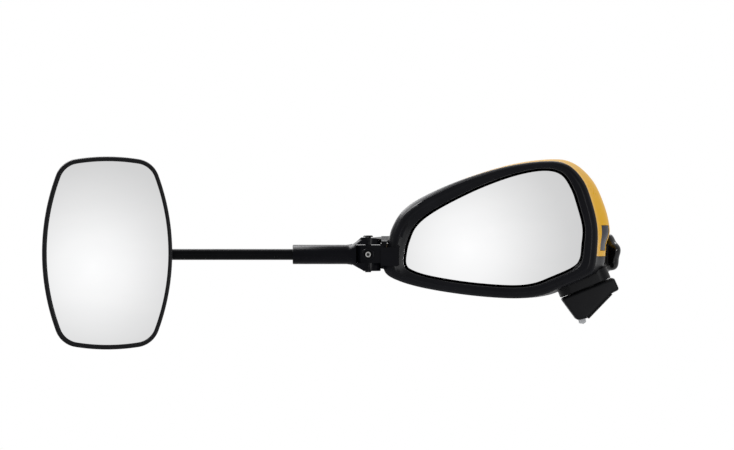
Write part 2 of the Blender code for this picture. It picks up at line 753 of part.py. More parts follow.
def door_point(u, v, out):
    return DOOR_ALONG * u + Y_AXIS * (FOLD_POINT[1] + v) + DOOR_NORMAL * out


def door_box(name, u_range, v_range, out_range, material=None, parent=None):
    """A block set square to the door face: along it, along Y and out of it."""
    ring = [(u_range[0], v_range[0]), (u_range[1], v_range[0]),
            (u_range[1], v_range[1]), (u_range[0], v_range[1])]
    rings = [[door_point(u, v, out) for u, v in ring] for out in out_range]
    return loft(name, rings, material, parent)


def make_gasket(foot_body):
    """A foam sheet on the door face, with holes for the bolts."""
    gasket = door_box("foot_gasket", (-21.5, 12.2), (-26.5, 26.5), (-GASKET_THICK, 0), "rubber",
                      foot_body)
    for number, (u, v) in enumerate(BOLT_PLACES, 1):
        hole = cylinder(f"gasket_hole_{number}", 3.8, 12, door_point(u, v, 0), DOOR_NORMAL, None,
                        sides=16)
        cut(gasket, hole)


def make_connector(foot_body):
    """The white connector that shows under the foot's tail, at the end of the inner wires."""
    middle = FOLD_POINT[1]
    low, high = Vector(FOOT_TAIL), Vector(FOOT_FACE_LOW)
    out = Vector((high.y - low.y, -(high.x - low.x))).normalized()
    along = (high - low).normalized()
    centre = (low + high) / 2
    corners = [(-3.6, -3.9), (3.6, -3.9), (3.6, 3.6), (0.5, 5.0), (-3.6, 3.6)]
    outline = [tuple(centre + along * u + out * h) for u, h in corners]
    plug = extruded("foot_connector", outline, middle - 9, middle + 9, "white_nylon", foot_body)
    slot_corners = [(-4.0, -8), (4.0, -8), (4.0, 8), (-4.0, 8)]
    slot_outline = [tuple(centre + along * u + out * h) for u, h in slot_corners]
    slot = extruded("connector_slot", slot_outline, middle - 9.4, middle + 9.4, None)
    cut(bpy.data.objects["foot"], slot)
    return bevel(plug, 0.5, 1)


# ---------------------------------------------------------------- clamp round the housing
def band_place(side, stage):
    """(surface point, outward direction) in plan, on the level of the clamp; side -1 is outboard."""
    edge = Vector((-219.0, 50.0)) if side < 0 else Vector((-7.6, 50.0))
    here = housing_point(edge, stage)
    before, after = housing_point(edge, stage - 0.02), housing_point(edge, stage + 0.02)
    tangent = Vector((after.x - before.x, after.y - before.y)).normalized()
    normal = Vector((tangent.y, -tangent.x)) if side > 0 else Vector((-tangent.y, tangent.x))
    return Vector((here.x, here.y)), normal


def hump(side, stage):
    if side < 0:
        return 0.0
    return BAND_HUMP * smooth(1 - abs(stage - SCREW_STAGE) / 0.34)


def strap_path(stages, low, high):
    """Plan points of a strap between two distances from the housing."""
    inner, outer = [], []
    for side, stage in stages:
        place, normal = band_place(side, stage)
        inner.append(place + normal * low(side, stage))
        outer.append(place + normal * high(side, stage))
    return inner, outer


def strap(name, stages, low, high, half_z, material, parent):
    """A strap that follows the housing on the level of the clamp."""
    inner, outer = strap_path(stages, low, high)
    rings = [[(a.x, a.y, ARM_Z - half_z), (b.x, b.y, ARM_Z - half_z),
              (b.x, b.y, ARM_Z + half_z), (a.x, a.y, ARM_Z + half_z)]
             for a, b in zip(inner, outer)]
    return loft(name, rings, material, parent)


def stage_list(side, first, last, count):
    return [(side, first + (last - first) * k / (count - 1)) for k in range(count)]


BAND_STAGES = (stage_list(-1, 0.52, 1.9, 14) + stage_list(1, 1.86, 1.18, 14))


def make_band(body):
    """The steel band from the outboard claw, round the back, to the inboard side."""
    band = strap("back_band", BAND_STAGES, lambda s, t: BAND_OFF + hump(s, t),
                 lambda s, t: BAND_OFF + BAND_THICK + hump(s, t), BAND_HALF_Z,
                 "black_steel", body)
    place, axis = screw_frame()
    cut(band, cylinder("band_screw_hole", 4.4, 60, place, axis, None, sides=20))
    for number, y in enumerate(RIVET_Y, 1):
        cut(band, cylinder(f"band_rivet_hole_{number}", 2.3, 20, (-224, y, ARM_Z), X_AXIS, None,
                           sides=16))
    spans = {"band_pad_outboard": stage_list(-1, 1.15, 1.42, 9),
             "band_pad_inboard": stage_list(1, 1.30, 1.19, 7)}
    for name, stages in spans.items():
        strap(name, stages, lambda s, t: 1.9, lambda s, t: BAND_OFF - 0.7 + hump(s, t), 9.5,
              "rubber", body)


def screw_frame():
    """Where the clamp screw's axis meets the housing, and the axis, out of the housing."""
    place, normal = band_place(1, SCREW_STAGE)
    return Vector((place.x, place.y, ARM_Z + 0.5)), Vector((normal.x, normal.y, 0))


def make_clamp_screw(body, pad_body, knob_body):
    """The screw that tightens the band: nut, spindle, knob and a rubber-faced pad."""
    place, axis = screw_frame()
    nut_low = BAND_OFF + BAND_HUMP + BAND_THICK + GAP
    turned("band_nut", [(4.2, nut_low), (4.2, nut_low + 3.6), (6.8, nut_low + 3.6),
                        (8.0, nut_low + 2.2), (8.0, nut_low)], place, axis, "black_steel", body, 20)
    turned("pressure_pad", [(0, 3.4), (3.0, 3.4), (3.0, 5.7), (5.4, 5.7), (9.5, 3.7), (9.5, 2.0),
                            (0, 2.0)], place, axis, "black_plastic", pad_body, 20)
    turned("pad_rubber", [(0, 1.7), (8.4, 1.7), (8.4, 0.9), (0, 0.9)], place, axis, "rubber",
           pad_body, 20)
    knob_low = nut_low + 5.5
    turned("clamp_spindle", [(0, knob_low + 7), (3.9, knob_low + 7), (3.9, 8.0), (2.6, 6.6),
                             (2.6, 4.2), (1.8, 3.7), (0, 3.7)], place, axis, "bare_steel",
           knob_body, 16)
    ring = []
    lobes, per_lobe = 6, 5
    for k in range(lobes * per_lobe):
        angle = 2 * pi * k / (lobes * per_lobe)
        radius = KNOB_RADIUS - 1.3 + 1.3 * cos(lobes * (angle - KNOB_LOBE_AT))
        ring.append((radius * cos(angle), radius * sin(angle)))
    turn = frame_along(axis, place)
    levels = [(knob_low, 0.80), (knob_low + 2.0, 0.97), (knob_low + 4.5, 1.0),
              (knob_low + KNOB_THICK - 2.2, 0.98), (knob_low + KNOB_THICK - 0.5, 0.88),
              (knob_low + KNOB_THICK, 0.72)]
    rings = [[turn @ Vector((x * share, y * share, level)) for x, y in ring]
             for level, share in levels]
    knob = loft("clamp_knob", rings, "gloss_black", knob_body)
    cut(knob, cylinder("knob_bore", 4.2, 16, place + axis * knob_low, axis, None, sides=16))


RIVET_Y = (28.0, 37.0)


def extruded_up(name, outline, z_from, z_to, material, parent=None):
    """A plan outline of (x, y) points, extruded along Z."""
    return loft(name, [[(x, y, z) for x, y in outline] for z in (z_from, z_to)], material, parent)


TONGUE_RADIUS = 12.8
TONGUE_Z = (40.5, 58.5)
FORK_RADIUS = 12.6
FORK_Z = (32.4, 66.2)
CLAW_X = (-224.0, -205.5)
CLAW_Y = (-4.8, -1.6)
SCREW_HEAD_Y = ARM_Y - TONGUE_RADIUS - 1.6


def make_outer_bracket(body):
    """The moulding on the outboard edge: hinge tongue, claw over the bezel and lug for the band."""
    arc = [(HINGE_X + TONGUE_RADIUS * cos(radians(a)), ARM_Y + TONGUE_RADIUS * sin(radians(a)))
           for a in range(90, 271, 15)]
    outline = arc + [(-221.4, ARM_Y - TONGUE_RADIUS), (-221.4, ARM_Y + TONGUE_RADIUS)]
    bracket = extruded_up("outer_bracket", outline, *TONGUE_Z, "black_plastic", body)
    claw = box("claw_tab", (CLAW_X[0], CLAW_Y[0], 37.6), (CLAW_X[1], CLAW_Y[1], 56.2), None)
    bevel(claw, 0.8)
    lug = box("band_lug", (-227.0, 16, 40.9), (-224.7, 43, 58.1), None)
    gusset_outline = [(-223.2, 56.5), (-218.6, 56.5), (-217.2, 63), (-215.8, 67.4), (-223.2, 67.4)]
    gusset = extruded("bracket_gusset", gusset_outline, ARM_Y - 6, ARM_Y + 14, None)
    slope = [(ARM_Y - 7, 61.8), (ARM_Y + 8, 67.4), (ARM_Y + 8, 80), (ARM_Y - 7, 80)]
    cut(gusset, loft("gusset_slope", [[(x, y, z) for y, z in slope] for x in (-230, -210)], None))
    boss = cylinder("screw_boss", 6.3, 8, (HINGE_X, ARM_Y - TONGUE_RADIUS + 1.8, ARM_Z),
                    Y_AXIS, None, sides=28)
    join_in(bracket, claw, lug, gusset, boss)
    pin_bore = cylinder("tongue_bore", 3.3, 60, (HINGE_X, ARM_Y, ARM_Z), Z_AXIS, None, sides=20)
    head_seat = cylinder("screw_seat", 4.2, 10, (HINGE_X, SCREW_HEAD_Y - 0.7, ARM_Z), Y_AXIS, None)
    shank_bore = cylinder("screw_shank_bore", 2.6, 30, (HINGE_X, -5, ARM_Z), Y_AXIS, None,
                          sides=16)
    cut(bracket, pin_bore, head_seat, shank_bore)
    for number, y in enumerate(RIVET_Y, 1):
        cut(bracket, cylinder(f"lug_hole_{number}", 2.3, 20, (-224, y, ARM_Z), X_AXIS, None,
                              sides=16))
        rivet_profile = [(0, 3.4), (3.2, 3.4), (3.2, 2.2), (2.0, 2.2), (2.0, -3.0), (3.6, -3.0),
                         (3.0, -4.0), (0, -4.0)]
        turned(f"band_rivet_{number}", rivet_profile, (-224.3, y, ARM_Z), X_AXIS,
               "bare_steel", body, 16)
    box("claw_pad", (-217.0, CLAW_Y[1] + GAP, 39.5), (-207.0, -GAP, 54.5), "rubber", body)


def make_hinge_hardware(body):
    """The upright hinge pin and the socket screw that locks it from the front."""
    top = FORK_Z[1]
    turned("hinge_pin", [(0, top + 1.9), (4.2, top + 1.9), (5.0, top + 1.0), (5.0, top + GAP),
                         (3.0, top + GAP), (3.0, FORK_Z[0] - 1.2), (0, FORK_Z[0] - 1.2)],
           (HINGE_X, ARM_Y, 0), Z_AXIS, "black_steel", body, 20)
    screw = turned("hinge_screw", [(0, 11), (2.2, 11), (2.2, 4.0), (3.7, 4.0), (3.7, 0.6),
                                   (3.1, 0), (0, 0)], (HINGE_X, SCREW_HEAD_Y, ARM_Z),
                   Y_AXIS, "bare_steel", body, 24)
    cut(screw, cylinder("screw_socket", 1.7, 5, (HINGE_X, SCREW_HEAD_Y, ARM_Z), Y_AXIS, None,
                        sides=6))


# ---------------------------------------------------------------- arm
def ring_across(x, half_y, half_z, corner):
    """A rounded rectangle square to the arm, at one place along it."""
    return [(x, ARM_Y + u, ARM_Z + v) for u, v in rounded_rectangle(half_y, half_z, corner)]


def fork_shoulder(name, line, far):
    """A wedge that takes the corner off the fork where the sleeve widens into it."""
    outline = line + [(line[-1][0], far), (line[0][0], far)]
    return extruded(name, outline, ARM_Y - 20, ARM_Y + 20, None)


def make_sleeve(swing):
    """The sleeve that the rod slides in; its fork takes the bracket's tongue."""
    round_part = SLEEVE_RADIUS - 0.2
    rings = [
        ring_across(SLEEVE_END_X, 8.9, 8.9, 8.7),
        ring_across(SLEEVE_END_X + 0.8, SLEEVE_RADIUS, SLEEVE_RADIUS, round_part),
        ring_across(-256, SLEEVE_RADIUS, SLEEVE_RADIUS, round_part),
        ring_across(-250, 11.4, 12.2, 7),
        ring_across(-244.5, 12.3, 15.9, 5),
        ring_across(-238, 12.4, 16.6, 4),
    ]
    sleeve = loft("arm_sleeve", rings, "black_plastic", swing)
    middle = Vector((HINGE_X, ARM_Y, (FORK_Z[0] + FORK_Z[1]) / 2))
    knuckle = cylinder("fork_knuckle", FORK_RADIUS, FORK_Z[1] - FORK_Z[0], middle, Z_AXIS, None,
                       sides=40)
    bevel(knuckle, 0.8, 1)
    low, high = TONGUE_Z[0] - GAP, TONGUE_Z[1] + GAP
    slot_round = cylinder("fork_slot_round", TONGUE_RADIUS + GAP, high - low,
                          (HINGE_X, ARM_Y, (low + high) / 2), Z_AXIS, None, sides=36)
    slot_open = box("fork_slot_open", (-248.5, -30, low), (-210, 50, high), None)
    pin_bore = cylinder("fork_bore", 3.3, 80, middle, Z_AXIS, None, sides=20)
    rod_bore = cylinder("sleeve_bore", 7.2, 100, (-312, ARM_Y, ARM_Z), X_AXIS, None)
    grub_bore = cylinder("grub_bore", 2.3, 12, (-290, ARM_Y + 10, ARM_Z), Y_AXIS, None, sides=16)
    shoulders = [
        fork_shoulder("fork_shoulder_top", [(-252.6, 58.9), (-248.9, 61.4), (-243.8, 65.7)], 90),
        fork_shoulder("fork_shoulder_low", [(-252.6, 39.1), (-249.0, 37.0), (-241.4, 32.9)], 10),
    ]
    cut(join_in(sleeve, knuckle), *shoulders, slot_round, slot_open, pin_bore, rod_bore, grub_bore)
    turned("grub_screw", [(0, 10.1), (2.0, 10.1), (2.0, 7.2), (0, 7.2)], (-290, ARM_Y, ARM_Z),
           Y_AXIS, "bare_steel", swing, 16)


def make_rod(twist, slide):
    """The collet that the grub screw locks, the rod that slides in it, and the rod's ball."""
    turned("sleeve_collet", [(5.8, 0.3), (5.8, 36), (6.9, 36), (6.9, 0.3)],
           (SLEEVE_END_X, ARM_Y, ARM_Z), X_AXIS, "grey_plastic", twist, 24)
    ball_x = HEAD_CENTRE[0]
    neck_x = ball_x + 5.0
    turned("rod", [(0, ROD_INNER_X - ball_x), (4.9, ROD_INNER_X - ball_x),
                   (ROD_RADIUS, ROD_INNER_X - ball_x - 0.8), (ROD_RADIUS, 22), (4.4, 20),
                   (4.4, neck_x - ball_x + GAP), (0, neck_x - ball_x + GAP)],
           (ball_x, ARM_Y, ARM_Z), X_AXIS, "black_steel", slide, 28)
    flat_h = neck_x - ball_x
    start = atan2(sqrt(BALL_RADIUS ** 2 - flat_h ** 2), flat_h)
    arc = [(BALL_RADIUS * sin(start + (pi - start) * k / 8),
            BALL_RADIUS * cos(start + (pi - start) * k / 8)) for k in range(8)]
    turned("arm_ball", [(0, flat_h)] + arc + [(0, -BALL_RADIUS)], (ball_x, ARM_Y, ARM_Z), X_AXIS,
           "bare_steel", slide, 24)


# ---------------------------------------------------------------- extension head
def head_ring(inset, y):
    centre = Vector(HEAD_CENTRE)
    return [(centre.x + x, y, centre.y + z) for x, z in barrel_outline(inset)]


def make_head(pan, tilt):
    """The head: glass on a backing block, a rim round it, a shallow shell and the ball's socket."""
    centre = Vector(HEAD_CENTRE)
    front = HEAD_FRONT_Y + 0.5
    glass_outline = [Vector(p) + centre for p in barrel_outline(3.4)]
    pad_outline = [Vector(p) + centre for p in barrel_outline(18)]
    convex_sheet("head_glass", glass_outline, centre, front, GLASS_THICK, "mirror_glass", tilt)
    convex_sheet("head_backing", pad_outline, centre, front + GLASS_THICK + GAP, 0,
                 "grey_plastic", tilt, flat_back=SHELL_FLOOR_Y - 1.0)
    rim = [head_ring(3.1, -14), head_ring(3.1, HEAD_FRONT_Y + 0.8),
           head_ring(2.4, HEAD_FRONT_Y), head_ring(0.8, HEAD_FRONT_Y), head_ring(0, -19.6),
           head_ring(0, -11.5), head_ring(1.6, -11.5), head_ring(1.6, -14)]
    hoop("head_rim", rim, "black_plastic", tilt)
    outside = [head_ring(1.9, -13.7), head_ring(1.9, -9.5), head_ring(6, -7.4),
               head_ring(16, -6), head_ring(34, SHELL_BACK_Y)]
    inside = [head_ring(4.4, -16), head_ring(4.4, -12), head_ring(8, -10), head_ring(17, -8.6),
              head_ring(36, SHELL_FLOOR_Y)]
    shell = loft("head_shell", outside, "black_plastic", tilt)
    cut(shell, loft("head_hollow", inside, None))
    make_socket(shell, pan, tilt)


SHELL_BACK_Y = -5.0
SHELL_FLOOR_Y = -8.0
SOCKET_X = (-511.5, -486.5)
FLANGE_Y = (SHELL_BACK_Y + GAP, -1.7)


def make_socket(shell, pan, tilt):
    """Two halves screwed round a liner, which grips the ball, on a flange on the head's back."""
    ball = Vector((HEAD_CENTRE[0], ARM_Y, ARM_Z))
    inner = [(9.3 * sin(radians(a)), -9.3 * cos(radians(a))) for a in range(0, 125, 15)]
    liner = inner + [(8.4, 8), (11.5, 8), (11.5, -12), (0, -12)]
    turned("ball_liner", liner, ball, X_AXIS, "white_nylon", pan, 24)
    middle_x = (SOCKET_X[0] + SOCKET_X[1]) / 2
    flange_middle = (middle_x, (FLANGE_Y[0] + FLANGE_Y[1]) / 2, ball.z)
    plate = cylinder("socket_plate", 29.5, FLANGE_Y[1] - FLANGE_Y[0], flange_middle, Y_AXIS,
                     "black_plastic", tilt, sides=36)
    saddle = box("socket_saddle", (SOCKET_X[0], FLANGE_Y[0] + 1, ball.z - 23),
                 (SOCKET_X[1], ball.y - GAP / 2, ball.z + 23), None)
    join_in(plate, saddle)
    cap = box("socket_cap", (SOCKET_X[0], ball.y + GAP / 2, ball.z - 15),
              (SOCKET_X[1], ball.y + 14.5, ball.z + 15), "black_plastic", tilt)
    bevel(cap, 3.0, 2)
    ears = box("socket_ears", (SOCKET_X[0] + 0.6, ball.y + GAP / 2 + 0.2, ball.z - 23),
               (SOCKET_X[1] - 0.6, ball.y + 4, ball.z + 23), None)
    join_in(cap, ears)
    liner_bore = cylinder("liner_bore", 11.8, 20.6, ball - X_AXIS * 2, X_AXIS, None, sides=28)
    rod_gap = cylinder("socket_opening", 10, 12, ball + X_AXIS * 12, X_AXIS, None, sides=28)
    cut(plate, liner_bore, rod_gap)
    cut(cap, liner_bore, rod_gap)
    for number, side in enumerate((-1, 1), 1):
        place = Vector((middle_x, 0, ball.z + side * 19))
        hole = cylinder(f"cap_screw_hole_{number}", 2.3, 26, place + Y_AXIS * 14, Y_AXIS, None,
                        sides=16)
        cut(plate, hole)
        cut(cap, hole)
        top = ball.y + 4 + GAP
        turned(f"cap_screw_{number}", [(0, top + 3), (2.6, top + 3), (3.7, top + 2), (3.7, top),
                                       (2.0, top), (2.0, 2), (0, 2)], place, Y_AXIS,
               "bare_steel", tilt, 16)
    for number, degrees_round in enumerate((40, -40, 180), 1):
        place = Vector((middle_x + 24.5 * cos(radians(degrees_round)), 0,
                        ball.z + 24.5 * sin(radians(degrees_round))))
        hole = cylinder(f"socket_screw_hole_{number}", 1.9, 16, place - Y_AXIS * 4, Y_AXIS, None,
                        sides=16)
        cut(plate, hole)
        cut(shell, hole)
        top = FLANGE_Y[1] + GAP
        turned(f"socket_screw_{number}", [(0, top + 2.2), (2.4, top + 2.2), (3.3, top + 1.2),
                                          (3.3, top), (1.6, top), (1.6, -7.4), (0, -7.4)],
               place, Y_AXIS, "bare_steel", tilt, 16)


# ---------------------------------------------------------------- assembly
def build():
    root = pivot_empty("foot_base", ORIGIN)
    body = pivot_empty("housing_fold_axis", FOLD_POINT, root)
    make_foot(root)
    make_gasket(root)
    make_connector(root)
    make_fold_joint(root, body)

    make_cap(body)
    make_lamp(body)
    make_lower_shell(body)
    make_bezel(body)
    make_carrier(body)

    pan = pivot_empty("glass_pan_axis", GLASS_PIVOT, body)
    tilt = pivot_empty("glass_tilt_axis", GLASS_PIVOT, pan)
    make_main_glass(tilt)
    make_cross(pan)
    places = plunger_places()
    sliders = {key: pivot_empty(f"plunger_{key}_line", place, body)
               for key, place in places.items()}
    nuts = {key: pivot_empty(f"drive_nut_{key}_axis", place, body)
            for key, place in places.items()}
    make_actuator(body, sliders, nuts)

    make_band(body)
    screw_place, _ = screw_frame()
    pad_body = pivot_empty("clamp_pad_line", screw_place, body)
    knob_body = pivot_empty("clamp_knob_axis", screw_place, pad_body)
    make_clamp_screw(body, pad_body, knob_body)
    make_outer_bracket(body)
    make_hinge_hardware(body)

    ball = (HEAD_CENTRE[0], ARM_Y, ARM_Z)
    swing = pivot_empty("arm_swing_axis", (HINGE_X, ARM_Y, ARM_Z), body)
    twist = pivot_empty("rod_twist_axis", (ROD_INNER_X, ARM_Y, ARM_Z), swing)
    slide = pivot_empty("rod_slide_line", (ROD_INNER_X, ARM_Y, ARM_Z), twist)
    head_pan = pivot_empty("head_pan_axis", ball, slide)
    head_tilt = pivot_empty("head_tilt_axis", ball, head_pan)
    make_sleeve(swing)
    make_rod(twist, slide)
    make_head(head_pan, head_tilt)


build()
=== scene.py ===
"""Render scene of the towing mirror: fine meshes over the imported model, in its own frame.

+X towards the vehicle, -Y towards the driver, +Z up. Lengths are in millimetres here, with
y = 0 on the front plane of the bezel, and are turned into metres where meshes are made.
"""

from math import atan2, cos, hypot, pi, radians, sin, sqrt

import bmesh
import bpy
from mathutils import Matrix, Vector


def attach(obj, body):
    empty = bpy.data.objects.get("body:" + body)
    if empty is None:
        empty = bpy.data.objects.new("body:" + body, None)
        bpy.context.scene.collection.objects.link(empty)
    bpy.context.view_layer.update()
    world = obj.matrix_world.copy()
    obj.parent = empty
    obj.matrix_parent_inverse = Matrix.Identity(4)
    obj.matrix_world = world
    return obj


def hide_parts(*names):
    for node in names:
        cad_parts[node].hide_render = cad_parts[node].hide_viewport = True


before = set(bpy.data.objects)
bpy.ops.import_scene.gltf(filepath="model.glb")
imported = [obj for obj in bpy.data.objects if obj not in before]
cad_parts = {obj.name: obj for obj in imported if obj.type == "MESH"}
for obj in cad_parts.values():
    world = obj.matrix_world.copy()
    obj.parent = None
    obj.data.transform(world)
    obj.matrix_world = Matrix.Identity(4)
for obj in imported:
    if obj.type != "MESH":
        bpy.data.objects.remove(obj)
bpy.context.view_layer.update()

MM = 0.001
ORIGIN = Vector((0, 50, 0))
X_AXIS, Y_AXIS, Z_AXIS = Vector((1, 0, 0)), Vector((0, 1, 0)), Vector((0, 0, 1))

# ---------------------------------------------------------------- sizes shared with the model
GLASS_EDGE = [
    (-195, 63), (-189, 76), (-176, 88), (-152, 102), (-120, 117), (-87, 128.5),
    (-60, 133), (-43, 129), (-33, 115), (-27, 98), (-21.5, 76), (-22.5, 58),
    (-24.5, 44), (-32, 36), (-52, 27), (-71, 20), (-94, 18), (-134, 21),
    (-172, 27), (-192, 33), (-198.5, 39), (-198, 51),
]
BEZEL_EDGE = [
    (-216, 63), (-212, 77), (-202, 92.5), (-183, 106), (-145, 123), (-99, 137),
    (-59, 142.5), (-37, 139), (-21, 123), (-12, 100), (-7, 77), (-7, 56),
    (-10, 34), (-18, 27), (-43, 16), (-63, 8), (-90, 5), (-134, 8),
    (-179, 15), (-207, 23), (-220, 32), (-219.5, 47),
]
OUTLINE_STEPS = 8
FRONT_Y, WIDE_Y, BACK_Y = 7.0, 42.0, 112.0
BULGE_X, BULGE_Z, TUCK_X = 13.0, 2.0, 3.6
POLE = Vector((-92.0, 50.0))
HOUSING_WALL = 2.6
GAP = 0.3
GLASS_RADIUS = 1400.0
GLASS_Y = 12.0
GLASS_PIVOT = Vector((-108.0, 28.0, 72.0))
FOLD_TILT = radians(22.0)
FOLD_POINT = Vector((-16.0, 50.0, 16.0))
FOLD_AXIS = Vector((-sin(FOLD_TILT), 0, cos(FOLD_TILT)))
FOOT_ALONG = Vector((cos(FOLD_TILT), 0, sin(FOLD_TILT)))
FOOT_HALF_Y, FOOT_WALL = 28.0, 3.2
FOOT_POINTS = [(-43.0, 4.6), (-27.0, -17.2), (-16.2, -14.9), (7.8, 10.0), (15.5, 13.6),
               (10.0, 26.0)]
DOOR_NORMAL = Vector((0.7195, 0, -0.6945))
DOOR_ALONG = Vector((0.6945, 0, 0.7195))
BOLT_PLACES = [(5.5, -20.0), (5.5, 20.0), (-14.0, 20.0)]
LAMP_Y, LAMP_Z = (19.0, 36.0), (53.0, 78.0)
ARM_Y, ARM_Z = 10.0, 49.0
HINGE_X = -236.5
SLEEVE_END_X, SLEEVE_RADIUS = -312.0, 9.7
ROD_RADIUS, ROD_INNER_X = 5.5, -274.0
TONGUE_RADIUS, TONGUE_Z = 12.8, (40.5, 58.5)
FORK_RADIUS, FORK_Z = 12.6, (32.4, 66.2)
CLAW_X, CLAW_Y, CLAW_Z = (-224.0, -205.5), (-4.8, -1.6), (37.6, 56.2)
SCREW_HEAD_Y = ARM_Y - TONGUE_RADIUS - 1.6
HEAD_CENTRE = Vector((-497.0, 50.5))
HEAD_HALF_W, HEAD_HALF_H = 65.0, 96.3
HEAD_SIDE_RADIUS, HEAD_TOP_RADIUS, HEAD_CORNER_RADIUS = 225.0, 200.0, 25.0
HEAD_FRONT_Y = -21.0
SHELL_BACK_Y, SHELL_FLOOR_Y = -5.0, -8.0
SOCKET_X = (-511.5, -486.5)
KNOB_RADIUS = 20.7
KNOB_LOBE_AT = radians(165)
SCREW_STAGE = 1.44
BAND_THICK, BAND_HALF_Z, BAND_OFF, BAND_HUMP = 2.0, 11.0, 3.4, 8.0
RIVET_Y = (28.0, 37.0)


# ---------------------------------------------------------------- mesh helpers
def linked(name, data):
    """An object of some data, in the scene."""
    made = bpy.data.objects.new(name, data)
    bpy.context.scene.collection.objects.link(made)
    return made


def shade(mesh, crease):
    mesh.shade_smooth()
    mesh.set_sharp_from_angle(angle=radians(crease))


def to_metres(bm, name):
    """Turns a bmesh in millimetres into a mesh in the row frame."""
    bmesh.ops.translate(bm, vec=-ORIGIN, verts=bm.verts)
    bmesh.ops.scale(bm, vec=(MM, MM, MM), verts=bm.verts)
    mesh = bpy.data.meshes.new(name)
    bm.to_mesh(mesh)
    bm.free()
    return mesh


def place_mesh(name, bm, look, crease=34):
    """Links a bmesh as an object with a material, smooth with its sharp edges kept."""
    bmesh.ops.recalc_face_normals(bm, faces=bm.faces)
    mesh = to_metres(bm, name)
    shade(mesh, crease)
    mesh.materials.append(MATERIALS[look])
    return linked(name, mesh)


def helper(name, look, shape, *details):
    """A solid for a cut or a join, made by one of the functions that add a shape to a bmesh."""
    bm = bmesh.new()
    shape(bm, *details)
    return place_mesh(name, bm, look)


def piece(name, bm, node, slot, body, crease=34, look=None):
    """A visual mesh that stands for a node, has its slot's finish or another, and rides on a body."""
    return declared(place_mesh(name, bm, look or slot, crease), node, body)


def declared(made, node, body):
    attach(made, body)
    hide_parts(node)
    return made


def soften(made, width, segments, angle):
    """A rounded edge wherever two faces meet at more than an angle."""
    edge = made.modifiers.new("soft_edges", "BEVEL")
    edge.width = width * MM
    edge.segments = segments
    edge.limit_method = "ANGLE"
    edge.angle_limit = radians(angle)
    edge.harden_normals = True


def solid(made, thickness):
    """Gives a sheet a wall on its inner side."""
    wall = made.modifiers.new("wall", "SOLIDIFY")
    wall.thickness = thickness * MM
    wall.offset = -1.0
    wall.use_even_offset = True


def bridge(bm, first, second):
    """Quads between two rings of the same number of vertices."""
    count = len(first)
    for i in range(count):
        j = (i + 1) % count
        bm.faces.new((first[i], first[j], second[j], second[i]))


def fan(bm, ring, middle):
    """Triangles from a ring to one vertex."""
    for i, vert in enumerate(ring):
        bm.faces.new((vert, ring[(i + 1) % len(ring)], middle))


def strips(bm, rings, looped=False):
    """Quads between rings of the same number of points; a looped set joins its last to its first."""
    made = [[bm.verts.new(p) for p in ring] for ring in rings]
    for first, second in list(zip(made, made[1:])) + ([(made[-1], made[0])] if looped else []):
        bridge(bm, first, second)
    return made


def capped(bm, rings):
    made = strips(bm, rings)
    bm.faces.new(made[0])
    bm.faces.new(list(reversed(made[-1])))
    return made


def frame_along(axis, place):
    turn = Vector(axis).to_track_quat("Z", "Y").to_matrix().to_4x4()
    return Matrix.Translation(Vector(place)) @ turn


def corner_arc(before, here, after, radius, share, steps):
    """A small arc in place of a corner, that takes up no more than a share of either side."""
    back, on = before - here, after - here
    reach = min(radius, back.length * share, on.length * share)
    start, end = here + back.normalized() * reach, here + on.normalized() * reach
    return [start * (1 - t) ** 2 + here * 2 * t * (1 - t) + end * t * t
            for t in (k / steps for k in range(steps + 1))]


def rounded(profile, radius):
    """A profile whose corners are replaced by small arcs, but for its two ends."""
    points = [Vector(p) for p in profile]
    made = [points[0]]
    for before, here, after in zip(points, points[1:], points[2:]):
        made += corner_arc(before, here, after, radius, 0.45, 4)
    return made + [points[-1]]


def drum(radius, low, high):
    """The profile of a plain cylinder."""
    return [(0, low), (radius, low), (radius, high), (0, high)]


def circle(turn, radius, height, sides):
    """Points round the upright axis of a frame."""
    return [turn @ Vector((radius * cos(2 * pi * k / sides), radius * sin(2 * pi * k / sides),
                           height)) for k in range(sides)]


def turned(bm, profile, place, axis, sides=64, looped=False):
    """Adds a turned shape: (radius, height) points about an axis, closed on the axis or looped."""
    turn = frame_along(axis, place)
    rings, ends = [], []
    for radius, height in profile:
        if radius < 1e-6:
            ends.append((len(rings), bm.verts.new(turn @ Vector((0, 0, height)))))
            continue
        rings.append(circle(turn, radius, height, sides))
    made = strips(bm, rings, looped)
    for at, middle in ends:
        fan(bm, made[0] if at == 0 else made[-1], middle)


def block(bm, low, high, corner=0.0, axis=1, steps=5):
    """Adds a box whose four edges along an axis are rounded."""
    low, high = Vector(low), Vector(high)
    others = [k for k in range(3) if k != axis]
    middle = (low + high) / 2
    half = (high - low) / 2
    ring = rounded_rectangle(half[others[0]], half[others[1]], max(corner, 0.01), steps)
    rings = []
    for at in (low[axis], high[axis]):
        points = []
        for u, v in ring:
            point = middle.copy()
            point[others[0]] += u
            point[others[1]] += v
            point[axis] = at
            points.append(point)
        rings.append(points)
    return capped(bm, rings)


def rounded_rectangle(half_u, half_v, corner, steps):
    """(u, v) points of a rectangle with round corners, about its middle."""
    ring = []
    for k in range(4):
        side_u = half_u - corner if k in (0, 3) else corner - half_u
        side_v = half_v - corner if k in (0, 1) else corner - half_v
        for i in range(steps + 1):
            angle = pi / 2 * (k + i / steps)
            ring.append((side_u + corner * cos(angle), side_v + corner * sin(angle)))
    return ring


def spline_outline(points, steps=OUTLINE_STEPS):
    """A closed Catmull-Rom curve through points, with steps points to each stretch."""
    made = []
    count = len(points)
    for i in range(count):
        a, b, c, d = (Vector(points[(i + k) % count]) for k in (-1, 0, 1, 2))
        for k in range(steps):
            t = k / steps
            made.append(
                0.5 * (2 * b + (c - a) * t + (2 * a - 5 * b + 4 * c - d) * t * t
                       + (3 * b - a - 3 * c + d) * t * t * t)
            )
    return made


